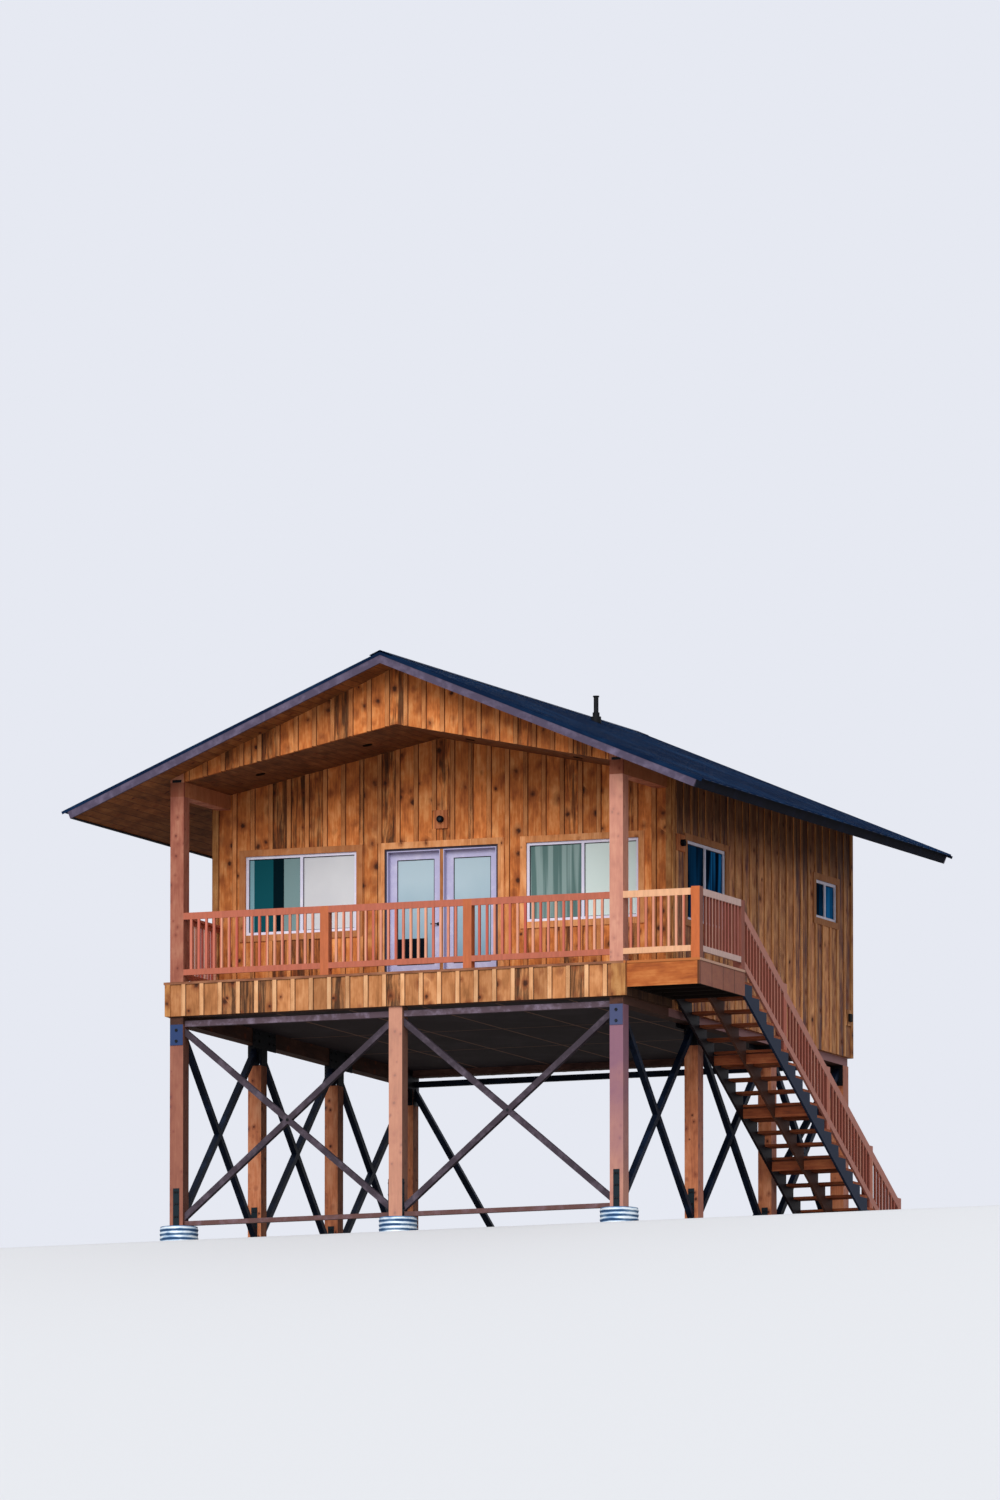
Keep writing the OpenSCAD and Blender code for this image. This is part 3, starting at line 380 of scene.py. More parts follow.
# Trim: casings, door unit and outlet
trimWood = {"pitch": 0.5, "dark": "#ad6a3f", "mid": "#d48d58", "light": "#e8aa78", "knots": 0.6}
casingLook = {"leftWindow": ("#9a5c36", 0.5), "leftEdge": -1.2, "sideWalls": ("#8f5f40", 0.65),
              "sideDepth": 0.03}
doorUnit = {"jambs": "#b6b3d6", "postHalf": 0.028, "sill": 0.108, "line": "#33303f", "shadeLineWidth": 0.034}
outletLook = {"cover": "#14120f", "block": 0.032}


def casingTones(p, colour):  # browner on the side walls and round the left window
    colour = p.tint(colour, p.under(p.x, casingLook["leftEdge"]), *casingLook["leftWindow"])
    return p.tint(colour, p.over(p.away, wall["side"] - casingLook["sideDepth"]), *casingLook["sideWalls"])


def doorUnitTones(p, colour):  # pale jambs and stops, a wooden centre post, and painted shade: a dark line round the unit
    lo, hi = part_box("door_frame")
    jambs = p.where(p.over(p.away, doorUnit["postHalf"]), p.over(p.z, lo.z + doorUnit["sill"]))
    colour = p.tint(colour, jambs, doorUnit["jambs"])
    sides, top = p.over(p.away, hi.x - doorUnit["shadeLineWidth"]), p.over(p.z, hi.z - doorUnit["shadeLineWidth"])
    return p.tint(colour, p.either(sides, top), doorUnit["line"])


def outletCover(p, colour):  # the box on the wooden block is black
    return p.tint(colour, p.over(p.x, wall["side"] + outletLook["block"]), outletLook["cover"])


dress(wood("casingWood", {**trimWood, "changes": [casingTones]}), "casings")
dress(wood("doorFrameWood", {**trimWood, "dark": "#7e4a2a", "mid": "#a3683d", "light": "#b98050",
                             "changes": [doorUnitTones]}), "door_frame")
dress(wood("outletWood", {**trimWood, "mid": "#9a6a44", "changes": [outletCover]}), "outlet")

# Landing frame and stair treads
rimLook = {"plank": 0.46, "seam": 0.03, "tones": ("#7a524d", "#9a6e66"), "toneShare": 0.7,
           "seamColour": "#3a2426", "corner": "#5a3420", "cornerWidth": 0.038, "behind": "#1c120e"}


def rimSides(p, colour):  # the side rim is mauve with upright seams; painted shade: all behind the outer faces is dark
    lo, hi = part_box("landing_frame")
    side = p.where(p.facing("x"), p.over(p.x, hi.x - skin))
    front = p.where(p.facing("y"), p.under(p.y, lo.y + skin))
    places = p.calc("DIVIDE", p.y, rimLook["plank"])
    plank = p.blend(p.chance(p.calc("FLOOR", places), 2.0), *rimLook["tones"])
    colour = p.tint(colour, side, plank, rimLook["toneShare"])
    seam = p.under(p.calc("FRACT", places), rimLook["seam"])
    colour = p.tint(colour, p.where(side, seam), rimLook["seamColour"])
    colour = p.tint(colour, p.where(front, p.over(p.x, hi.x - rimLook["cornerWidth"])), rimLook["corner"])
    return p.blend(p.either(side, front), rimLook["behind"], colour)


dress(wood("rimTimber", {"run": "x", "pitch": 0.6, "dark": "#8a4320", "mid": "#b0602e", "light": "#c67a42",
                         "changes": [rimSides]}), "landing_frame")
dress(wood("treadTimber", {"run": "x", "pitch": 0.3, "dark": "#683321", "mid": "#944c2e", "light": "#ae663f",
                           "spread": (0.8, 1.15)}), "stair_treads", "stair_blocks")
print("boards and timber done")

# Rails: level boards, balusters and posts each have their own colour
railBoards = {"low": (0.1, 0.197), "topHeight": 0.106, "slatPitch": 0.128, "spread": (0.72, 1.26)}
stairRail = {"risers": 23, "going": 0.3, "low": (0.0, 0.15), "top": 0.71, "slatShade": "#7c4034"}
middlePosts = {"x": (1.119, 1.261), "depth": 0.2, "colour": "#b9653f"}
landingRail = {"inset": 0.16, "newel": 0.145, "slats": ("#b8645a", "#d0a290"), "slatShade": "#7c4236",
               "boards": "#d2b3ac", "newelFront": "#bf6434", "newelSide": "#8a5648", "rearNewel": "#915446"}


def railPaint(name, look):
    p = Paint(name)
    grain = p.noise(p.stretched((26.0, 26.0, 5.0)), detail=4.0)
    slat = p.calc("FLOOR", p.calc("DIVIDE", p.plus(p.x, p.y), railBoards["slatPitch"]))
    colour = p.blend(p.chance(slat, 3.0), *look["slats"])
    colour = p.blend(look["level"](p), colour, look["board"])
    for mask, paint in look["spots"](p):
        colour = p.blend(mask, colour, paint)
    colour = p.shade(colour, p.pick(grain, *railBoards["spread"]))
    return p.surface(colour, rough=0.7, gloss=0.3, bump=grain, strength=0.25)


def levelBoards(p):
    low = p.between(p.z, deckTop + railBoards["low"][0], deckTop + railBoards["low"][1])
    return p.either(low, p.over(p.z, railTop - railBoards["topHeight"]))


def stairBoards(p):  # by the height over the line of the tread noses
    slope = deckTop / stairRail["risers"] / stairRail["going"]
    line = p.minus(deckTop, p.times(p.minus(p.y, landingHigh.y), slope))
    height = p.minus(p.z, line)
    return p.either(p.between(height, *stairRail["low"]), p.over(height, stairRail["top"]))


def porchPostSpots(p):  # the two middle rail posts
    middle = p.between(p.away, *middlePosts["x"])
    return [(p.where(middle, p.under(p.y, porchFront + middlePosts["depth"])), middlePosts["colour"])]


def landingSpots(p):
    outer = p.over(p.x, landingHigh.x - landingRail["inset"])
    newel = p.where(outer, p.under(p.y, porchFront + landingRail["newel"]))
    rearNewel = p.where(outer, p.over(p.y, landingHigh.y - landingRail["newel"]))
    side = p.where(outer, p.over(p.y, porchFront + landingRail["newel"]))
    slat = p.calc("FLOOR", p.calc("DIVIDE", p.y, railBoards["slatPitch"]))
    return [(side, p.blend(p.chance(slat, 5.0), *landingRail["slats"])),
            # painted shade on the front and rear faces of the side slats
            (p.where(side, p.facing("y", 0.9)), landingRail["slatShade"]),
            (p.where(side, levelBoards(p)), landingRail["boards"]), (newel, landingRail["newelFront"]),
            (p.where(newel, p.facing("x")), landingRail["newelSide"]),
            (rearNewel, landingRail["rearNewel"])]


def slatShadeFaces(p):  # painted shade: the front and rear faces of the slats are dark
    return [(p.facing("y", 0.9), stairRail["slatShade"])]


dress(railPaint("porchRailWood", {"slats": ("#bc5748", "#dfa084"), "board": "#b3634d", "level": levelBoards,
                                  "spots": porchPostSpots}), "porch_rails")
dress(railPaint("landingRailWood", {"slats": ("#c06a54", "#dfa084"), "board": "#e0aa84", "level": levelBoards,
                                    "spots": landingSpots}), "landing_rails")
dress(railPaint("stairRailWood", {"slats": ("#b25c4a", "#cc907a"), "board": "#bb7f72", "level": stairBoards,
                                  "spots": slatShadeFaces}), "stair_rails")
print("rails done")


# Steel and painted metal: a base tone with cloudy wear
def steel(name, base, worn, rough=0.55, size=3.0, gloss=0.15, changes=()):
    p = Paint(name)
    cloud = p.noise(p.stretched((size, size, size)), detail=5.0, rough=0.65)
    colour = p.blend(p.ramp(cloud, [(0.47, 0.0), (0.72, 1.0)]), base, worn)
    for change in changes:
        colour = change(p, colour)
    return p.surface(colour, rough, gloss=gloss, bump=cloud, strength=0.1)


stringers = {"inner": (3.85, 4.2, "#1f191e"), "middle": (4.2, 4.7, "#5c3c31"),
             "outer": (4.9, 5.3, "#1e2940")}
panelSheets = {"width": 1.22, "length": 2.44, "start": 0.4, "seam": 0.035, "colour": "#94705f",
               "share": 0.9}
lowStruts = {"top": 1.0, "colour": "#6a4539", "share": 0.6}
cornerPlates = {"height": 2.9, "left": "#2c3f6a", "right": "#464d70"}
baseStraps = {"top": 1.0, "colour": "#12222a"}


def stringerTones(p, colour):  # the inner stringer is dark, the middle one brown and the outer one navy
    for low, high, tone in stringers.values():
        colour = p.tint(colour, p.between(p.x, low, high), tone)
    return colour


def panelSeams(p, colour):
    rows = ((p.x, panelSheets["width"]), (p.plus(p.y, panelSheets["start"]), panelSheets["length"]))
    seams = [p.under(p.calc("FRACT", p.calc("DIVIDE", axis, pitch)), panelSheets["seam"] / pitch)
             for axis, pitch in rows]
    return p.tint(colour, p.either(*seams), panelSheets["colour"], panelSheets["share"])


def strutTones(p, colour):  # the low struts are browner
    return p.tint(colour, p.under(p.z, lowStruts["top"]), lowStruts["colour"], lowStruts["share"])


def plateTones(p, colour):  # the two plates on the corner posts are lighter, the base straps green black
    high = p.where(p.under(p.y, porchFront + skin), p.over(p.z, cornerPlates["height"]))
    colour = p.tint(colour, high, p.bands(p.x, cornerPlates["left"], (0.0, cornerPlates["right"])))
    return p.tint(colour, p.under(p.z, baseStraps["top"]), baseStraps["colour"])


dress(steel("braceSteel", "#3c333d", "#5f5461", 0.6, size=5.0), "front_braces")
dress(steel("strutSteel", "#55454f", "#8a7b90", 0.6, size=5.0, changes=[strutTones]), "front_struts")
dress(steel("darkSteel", "#0d1524", "#1b2840", 0.5, gloss=0.08, changes=[stringerTones]),
      "left_braces", "right_braces", "back_braces", "stair_stringers")
dress(steel("plateSteel", "#0b0e15", "#161c28", changes=[plateTones]), "steel_plates")
dress(steel("panelPaint", "#383136", "#474046", 0.75, size=1.2, changes=[panelSeams]), "underside_panel")
dress(steel("roofMetal", "#0c1d38", "#143052", 0.5, size=0.8, gloss=0.02),
      "roof_metal_left", "roof_metal_right", "ridge_cap")
dress(steel("bargePaint", "#4d4459", "#6d637b", 0.6, size=4.0), "barge_boards")
# painted shade: the eave fascias are painted dark navy, darker than the barge boards, for the shade under the
# eaves
dress(steel("fasciaShadePaint", "#0b1122", "#151d36", 0.5, gloss=0.04), "eave_fascias")
dress(steel("ventPaint", "#0c0e13", "#1a1d26", 0.5), "vent_pipe")
dress(steel("doorPaint", "#b9b6d8", "#cdcae4", 0.45, size=6.0), "left_door", "right_door")
dress(steel("vinylPaint", "#dddbf2", "#eceaf8", 0.45, size=6.0), "window_frames")
dress(steel("hingeMetal", "#15161a", "#26282e", 0.4), "door_hinges", "door_handle")

# Pier forms: galvanised; painted reflection: blue and white bands that follow the corrugation stand in for
# the sky's reflection on the ribs
pierLook = {"wave": 0.068, "ribSheenShare": 0.22, "low": "#2c5280", "mid": "#769bc0", "high": "#dbe6f0",
            "concrete": "#8d8f92", "topStart": 0.2}


def pierPaint():
    p = Paint("pierForms")
    # painted reflection: bands at the pitch of the corrugation
    wave = p.calc("SINE", p.times(p.z, 2 * math.pi / pierLook["wave"]))
    cloud = p.noise(p.stretched((1.0, 1.0, 3.0)), 4.0, 4.0)
    value = p.plus(p.times(wave, pierLook["ribSheenShare"]), cloud)
    colour = p.ramp(value, [(0.3, pierLook["low"]), (0.5, pierLook["mid"]), (0.7, pierLook["high"])])
    top = p.where(p.facing("z", 0.7), p.over(p.z, pierLook["topStart"]))
    colour = p.tint(colour, top, pierLook["concrete"])
    return p.surface(colour, 0.5, 0.2, 0.4, bump=cloud, strength=0.15)


dress(pierPaint(), "piers")

# Lamps: a wooden block with a black lamp, and the discs of the recessed spots
lampLook = {"timber": ("#a05a38", "#cc8258"), "lamp": "#131419", "lens": "#040303", "ring": "#21150f",
            "blockDepth": 0.031, "blockReach": 0.2}
spots = {"middle": 1.754, "apart": 0.897, "lensRadius": 0.074, "rear": -3.4, "low": 7.0}


def lampPaint():
    p = Paint("lampPaint")
    deep = lampLook["blockDepth"]
    front = p.where(p.under(p.away, lampLook["blockReach"]), p.over(p.y, wall["front"] - deep))
    side = p.between(p.x, wall["side"] - deep, wall["side"] + deep)
    grain = p.noise(p.stretched((30.0, 30.0, 1.0)), 1.0, 4.0)
    timber = p.ramp(grain, zip((0.35, 0.65), lampLook["timber"]))
    colour = p.tint(lampLook["lamp"], p.either(front, side), timber)
    pair = p.calc("ABSOLUTE", p.minus(p.away, spots["middle"]))
    offset = p.calc("ABSOLUTE", p.minus(pair, spots["apart"]))
    depth = p.minus(p.y, (porchFront + wall["front"]) / 2)
    reach = p.calc("SQRT", p.plus(p.calc("POWER", offset, 2.0), p.calc("POWER", depth, 2.0)))
    disc = p.bands(reach, lampLook["lens"], (spots["lensRadius"], lampLook["ring"]))
    colour = p.tint(colour, p.where(p.under(p.y, spots["rear"]), p.over(p.z, spots["low"])), disc)
    return p.surface(colour, 0.6, gloss=0.02)


dress(lampPaint(), "lights")

# Glass: tinted coating over a clear pane, with soft streaks, coloured pane by pane. Painted reflection and
# painted shade: the coating has no reflection of its own, and the pane colours stand in for the sky's
# reflection and for the dim room behind; the curtains are painted on too.
# painted reflection in the pale sheen of the front panes; painted shade in the dark teal blocks of the left
# window
glassLook = {"seeThrough": 0.12, "rough": 0.2, "edge": "#84b0bc", "teal": "#155560", "gap": "#081c24",
             "grey": "#829fa2", "sheen": ("#d0d3db", "#e6e8ec"), "curtain": ("#62807e", "#93acab"),
             "pale": "#e0f1ef", "door": ("#90b3c8", "#bcd3df"), "doorFoot": "#10151d",
             "side": ("#07182c", "#2482cc"), "sideShare": 0.25, "smallShare": 0.6}
paneStarts = {"teal": -3.16, "gap": -2.84, "grey": -2.66, "sheen": -2.3525, "doors": -1.0, "curtain": 1.0,
              "pale": 2.3525}  # where each colour of the front panes begins, from left to right
doorPanes = {"middle": 4.4, "rise": 0.5, "cloud": 0.3, "footTop": 4.78, "footEnd": -0.28}
sidePanes = {"bright": (-1.406, 0.0), "small": 3.62}


def doorGlass(p, shade):  # painted reflection: paler towards the top, with a dark foot on the left
    height = p.times(p.minus(p.z, doorPanes["middle"]), doorPanes["rise"])
    value = p.plus(height, p.times(shade, doorPanes["cloud"]))
    colour = p.blend(p.ramp(value, [(0.25, 0.0), (0.8, 1.0)]), *glassLook["door"])
    foot = p.where(p.under(p.z, doorPanes["footTop"]), p.under(p.x, doorPanes["footEnd"]))
    return p.tint(colour, foot, glassLook["doorFoot"])


def frontGlass(p, strip):
    shade = p.noise(p.stretched((1.6, 1.0, 1.3)), detail=2.0)
    tones = {**glassLook, "sheen": p.blend(shade, *glassLook["sheen"]), "doors": doorGlass(p, shade),
             "curtain": p.blend(strip, *glassLook["curtain"])}
    return p.bands(p.x, glassLook["edge"], *((start, tones[name]) for name, start in paneStarts.items()))


def sideGlassReflection(p, strip):  # painted reflection: navy with bright blue streaks on the rear half and on the small window
    small = p.over(p.y, sidePanes["small"])
    bright = p.either(p.between(p.y, *sidePanes["bright"]), small)
    share = p.times(strip, p.pick(bright, glassLook["sideShare"], 1.0))
    share = p.either(share, p.times(small, glassLook["smallShare"]))
    return p.blend(share, *glassLook["side"])


def glassPaint(name):
    p = Paint(name)
    drift = p.noise(p.stretched((9.0, 5.0, 0.35)), detail=2.0)
    strip = p.ramp(drift, [(0.44, 0.0), (0.56, 1.0)])
    colour = p.tint(frontGlass(p, strip), p.facing("x"), sideGlassReflection(p, strip))
    coat = put(p.tree, "ShaderNodeBsdfPrincipled", {"Base Color": colour, "Roughness": glassLook["rough"],
               "Specular IOR Level": 0.0}).outputs[0]
    clear = put(p.tree, "ShaderNodeBsdfTransparent", {0: colour}).outputs[0]
    mixed = put(p.tree, "ShaderNodeMixShader", {0: glassLook["seeThrough"], 1: coat, 2: clear})
    return p.close(mixed.outputs[0])


dress(glassPaint("paneGlass"), "window_glass", "left_door_glass", "right_door_glass")
print("metal, lamps and glass done")


# Geometry Nodes group: a bar or round piece at each point, sized and turned by the point
def pieceGroup(name, isRound=False):
    tree = bpy.data.node_groups.new(name, "GeometryNodeTree")
    face = tree.interface
    face.new_socket("Geometry", in_out="INPUT", socket_type="NodeSocketGeometry")
    face.new_socket("Geometry", in_out="OUTPUT", socket_type="NodeSocketGeometry")
    for label, kind, value in (("Width", "Float", 1.0), ("Depth", "Float", 1.0), ("Height", "Float", 1.0),
                               ("Sides", "Int", 6), ("Seed", "Int", 3), ("Material", "Material", None)):
        socket = face.new_socket(label, in_out="INPUT", socket_type="NodeSocket" + kind)
        if value is not None:
            socket.default_value = value
    given = put(tree, "NodeGroupInput").outputs
    if isRound:
        shape = put(tree, "GeometryNodeMeshCylinder", {"Vertices": given["Sides"], "Radius": 0.5,
                                                       "Depth": 1.0})
    else:
        shape = put(tree, "GeometryNodeMeshCube")
    size, turn = (put(tree, "GeometryNodeInputNamedAttribute", {"Name": label},
                      data_type="FLOAT_VECTOR").outputs[0] for label in ("size", "turn"))
    share = put(tree, "ShaderNodeCombineXYZ", {0: given["Width"], 1: given["Depth"], 2: given["Height"]})
    scale = put(tree, "ShaderNodeVectorMath", {0: size, 1: share.outputs[0]}, operation="MULTIPLY").outputs[0]
    spin = put(tree, "FunctionNodeEulerToRotation", {0: turn}).outputs[0]
    copies = put(tree, "GeometryNodeInstanceOnPoints", {
        "Points": given["Geometry"], "Instance": shape.outputs[0], "Rotation": spin,
        "Scale": scale}).outputs[0]
    tone = put(tree, "FunctionNodeRandomValue", {"Seed": given["Seed"]}).outputs[1]
    copies = put(tree, "GeometryNodeStoreNamedAttribute", {"Geometry": copies, "Name": "tone", "Value": tone},
                 domain="INSTANCE").outputs[0]
    solid = put(tree, "GeometryNodeRealizeInstances", {0: copies}).outputs[0]
    solid = put(tree, "GeometryNodeSetMaterial", {"Geometry": solid, "Material": given["Material"]})
    put(tree, "NodeGroupOutput", {0: solid.outputs[0]})
    return tree


barGroup = pieceGroup("barsOnPoints")
rodGroup = pieceGroup("rodsOnPoints", isRound=True)


def grow(name, group, points, slot, body="root", **inputs):
    mesh = bpy.data.meshes.new(name)
    mesh.from_pydata([p[0] for p in points], [], [])
    for label, column in (("size", 1), ("turn", 2)):
        layer = mesh.attributes.new(label, "FLOAT_VECTOR", "POINT")
        layer.data.foreach_set("vector", [v for p in points for v in p[column]])
    obj = bpy.data.objects.new(name, mesh)
    scene.collection.objects.link(obj)
    mod = obj.modifiers.new("grow", "NODES")
    mod.node_group = group
    for item in group.interface.items_tree:
        if item.in_out == "INPUT" and item.name in inputs:
            mod[item.identifier] = inputs[item.name]
    solid = bpy.data.meshes.new_from_object(obj.evaluated_get(bpy.context.evaluated_depsgraph_get()))
    obj.modifiers.clear()
    obj.data = solid
    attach(obj, body)
    print(name, len(points), "pieces", len(solid.polygons), "faces")


def block(x0, x1, y0, y1, z0, z1):
    middle = ((x0 + x1) / 2, (y0 + y1) / 2, (z0 + z1) / 2)
    return (middle, (abs(x1 - x0), abs(y1 - y0), abs(z1 - z0)), (0, 0, 0))


# Battens over the joints of the boards, cut round the openings and along the roof
roof = {"slope": 5 / 12, "rafterZ": 8.75, "ceilingSlope": 2.45 / 12, "ceilingZ": 7.866, "metalZ": 8.908}
openings = {"casing": 0.1, "window": (1.42, 3.285, 4.937, 6.167), "door": (0.0, 0.949, deckTop, 6.172),
            "lamp": (0.0, 0.108, 6.455, 6.74),
            "sideWindows": ((-2.206, -0.606, 4.937, 6.167), (3.166, 4.071, 5.567, 6.167)),
            "sideLamp": (-2.628, -2.318, 5.959, 6.219)}
half = cladding["battenWidth"] / 2
boardNumbers = range(-16, 16)  # counted from the middle, more than any wall needs
eave = roof["rafterZ"] - roof["slope"] * wall["side"]


def batten(side, at, low, high):  # side is front, rear, left, right, skirt or gable
    deep = cladding["battenDepth"]
    size = (1, 1, high - low)
    z = (low + high) / 2
    if side in ("left", "right"):
        s = 1 if side == "right" else -1
        return ((s * (wall["side"] + deep / 2), at, z), size, (0, 0, math.pi / 2))
    y = {"front": wall["front"] - deep / 2, "rear": wall["rear"] + deep / 2,
         "skirt": wall["skirtFront"] - deep / 2, "gable": porchFront - deep / 2}[side]
    return ((at, y, z), size, (0, 0, 0))


def cut(low, high, holes):  # the parts of low to high that are outside the holes
    spans = [(low, high)]
    for a, b in holes:
        spans = [(s, e) for low, high in spans for s, e in ((low, min(high, a)), (max(low, b), high))
                 if e - s > cladding["shortest"]]
    return spans


def underRoof(x):  # top of a batten whose upper end follows the rafters
    return roof["rafterZ"] - roof["slope"] * (abs(x) - half)


def underCeiling(x):
    return roof["ceilingZ"] - roof["ceilingSlope"] * abs(x)


def wallBattens(x):
    holes = []
    for name, edge in (("window", openings["casing"]), ("door", openings["casing"]), ("lamp", 0.0)):
        x0, x1, z0, z1 = openings[name]
        if x0 - edge - half < abs(x) < x1 + edge + half:
            holes.append((z0 - edge, z1 + edge))
    top = min(underCeiling(x) + cladding["intoCeiling"], underRoof(x))
    return [batten("front", x, s, e) for s, e in cut(deckTop, top, holes)]


def gableBattens(x):
    if abs(x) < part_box("gable_face")[1].x - cladding["gableGap"]:
        return [batten("gable", x, underCeiling(x), underRoof(x))]
    return []


def sideBattens(side):
    casing = openings["casing"]
    found = []
    for i in boardNumbers:
        y = cladding["pitch"] * i + cladding["sideShift"]
        if not porchFront < y < wall["rear"] - cladding["cornerGap"]:
            continue
        if side == "right" and y < landingHigh.y + half:  # the landing covers the wall here
            continue
        holes = [(z0 - casing, z1 + casing) for y0, y1, z0, z1 in openings["sideWindows"]
                 if y0 - casing - half < y < y1 + casing + half]
        y0, y1, z0, z1 = openings["sideLamp"]
        if side == "right" and y0 - half < y < y1 + half:
            holes.append((z0, z1))
        top = wall["skirtTop"] if y < wall["front"] + half else eave
        found += [batten(side, y, s, e) for s, e in cut(wall["foot"], top, holes)]
    return found


joints = [cladding["pitch"] * (i + 0.5) for i in boardNumbers]
joints = [x for x in joints if abs(x + cladding["wallShift"]) <= wall["side"] - cladding["cornerGap"]]
frontBattens = [b for x in joints
                for b in wallBattens(x + cladding["wallShift"]) + gableBattens(x + cladding["gableShift"])]
skirtBattens = [batten("skirt", x + cladding["skirtShift"], wall["foot"], wall["skirtTop"]) for x in joints]
rearBattens = [batten("rear", x + cladding["gableShift"], wall["foot"], underRoof(x + cladding["wallShift"]))
               for x in joints]
battenSize = {"Width": cladding["battenWidth"], "Depth": cladding["battenDepth"]}
plainBatten = {"loose": True, "line": None, "knots": 0}
frontWood = wood("battenFront", {**cedarFront, **plainBatten, "dark": "#9c5b32", "mid": "#c67d48",
                                 "light": "#dc9a64", "streaks": 0.12})
sideWood = wood("battenSide", {**cedarSide, **plainBatten, "dark": "#a2663f", "mid": "#d9955f",
                               "light": "#efb884", "streaks": 0.16, "changes": [eavePaintedShade]})
skirtWood = wood("battenSkirt", {**cedarFront, **plainBatten, "dark": "#b27a4e", "mid": "#d39c6f",
                                 "light": "#e6b68a", "streaks": 0.0})
battens = {"front": (frontBattens, frontWood), "skirt": (skirtBattens, skirtWood),
           "right": (sideBattens("right"), sideWood), "left": (sideBattens("left"), sideWood),
           "rear": (rearBattens, sideWood)}
for seed, (side, (points, paint)) in enumerate(battens.items(), 4):
    grow(side + "_battens", barGroup, points, "siding", Material=paint, Seed=seed, **battenSize)

# Corner boards, and the cover board on the right end of the front skirt
corner = {"width": 0.09, "depth": 0.022, "top": 7.1, "cover": (3.6, 3.83)}


def cornerBoards():
    w, d, top = corner["width"], corner["depth"], corner["top"]
    side, skirt, front, foot = wall["side"], wall["skirtFront"], wall["front"], wall["foot"]
    boards = [block(-side, -side + w, skirt - d, skirt, foot, wall["skirtTop"]),
              block(*corner["cover"], skirt - d, skirt, foot, wall["skirtTop"]),
              block(-side, -side + w, front - d, front, deckTop, top),
              block(side - w, side, front - d, front, deckTop, top)]
    for s in (-1, 1):
        start = deckTop if s > 0 else wall["skirtTop"]
        boards.append(block(s * side, s * (side + d), front, front + w, start, eave))
        boards.append(block(s * side, s * (side + d), wall["rear"] - w, wall["rear"], foot, eave))
    return boards


cornerWood = wood("cornerWood", {**cedarFront, "line": None, "loose": True, "dark": "#85522e",
                                 "mid": "#ad7644", "light": "#c4905c", "streaks": 0.0})
grow("corner_boards", barGroup, cornerBoards(), "siding_trim", Material=cornerWood, Seed=9)
print("siding done")

# Dark lines round the door and window panes
seals = {"doorWidth": 0.012, "width": 0.01, "depth": 0.006, "setBack": 0.034, "frame": 0.045}
sealPaint = steel("sealPaint", "#15171c", "#22252c", 0.6)


def ring(axis, face, a0, a1, z0, z1, w, d):  # four bars on a face that looks along the axis
    spans = [(a0 - w, a1 + w, z0 - w, z0), (a0 - w, a1 + w, z1, z1 + w), (a0 - w, a0, z0, z1),
             (a1, a1 + w, z0, z1)]
    if axis == "x":
        return [block(face, face + d, s, e, low, high) for s, e, low, high in spans]
    return [block(s, e, face, face + d, low, high) for s, e, low, high in spans]


def doorSeals(glass):  # on both faces of the pane
    lo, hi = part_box(glass)
    w, d = seals["doorWidth"], seals["depth"]
    return [bar for face in (lo.y - d, hi.y)
            for bar in ring("y", face, lo.x + w, hi.x - w, lo.z + w, hi.z - w, w, d)]


def paneSpan(low, high, number):  # one of the two panes of a slider, inside its frame
    width = (high - low - 3 * seals["frame"]) / 2
    start = low + seals["frame"] + number * (width + seals["frame"])
    return start + seals["width"], start + width - seals["width"]


def windowSeals():
    w, d, inset = seals["width"], seals["depth"], seals["frame"] + seals["width"]
    bars = []
    for s, number in ((-1, 0), (-1, 1), (1, 0), (1, 1)):
        x0, x1, z0, z1 = openings["window"]
        start, end = sorted(s * x for x in paneSpan(x0, x1, number))
        bars += ring("y", wall["front"] + seals["setBack"], start, end, z0 + inset, z1 - inset, w, d)
        for y0, y1, z0, z1 in openings["sideWindows"]:
            face = s * (wall["side"] - seals["setBack"])
            bars += ring("x", face, *paneSpan(y0, y1, number), z0 + inset, z1 - inset, w, -d * s)
    return bars


for name in ("left_door", "right_door"):
    grow(name + "_seal", barGroup, doorSeals(name + "_glass"), "black_metal", name + "_leaf",
         Material=sealPaint, Seed=2)
grow("window_seals", barGroup, windowSeals(), "black_metal", Material=sealPaint, Seed=2)

# Bolts on the plates, straps and brace crossings: heights, and distances from the middle of the post
bolts = {"size": 0.034, "head": 0.014, "cornerSize": 0.05, "crossingSize": 0.045, "out": 0.016,
         "strap": (0.4, 0.6, 0.78), "strapReach": (-0.02, 0.02), "sideStrap": 0.033,
         "plate": (3.12, 3.29), "plateReach": (-0.03, 0.05), "knife": (3.42, 3.54),
         "knifeReach": (-0.38, -0.2, 0.2, 0.38), "knifeEnd": 4.4, "crossing": 1.8325, "crossingDepth": 0.06}


def stud(x, y, z, axis, size=bolts["size"]):
    turn = {"y": (math.pi / 2, 0, 0), "x": (0, math.pi / 2, 0)}[axis]
    return ((x, y, z), (size, size, bolts["head"]), turn)


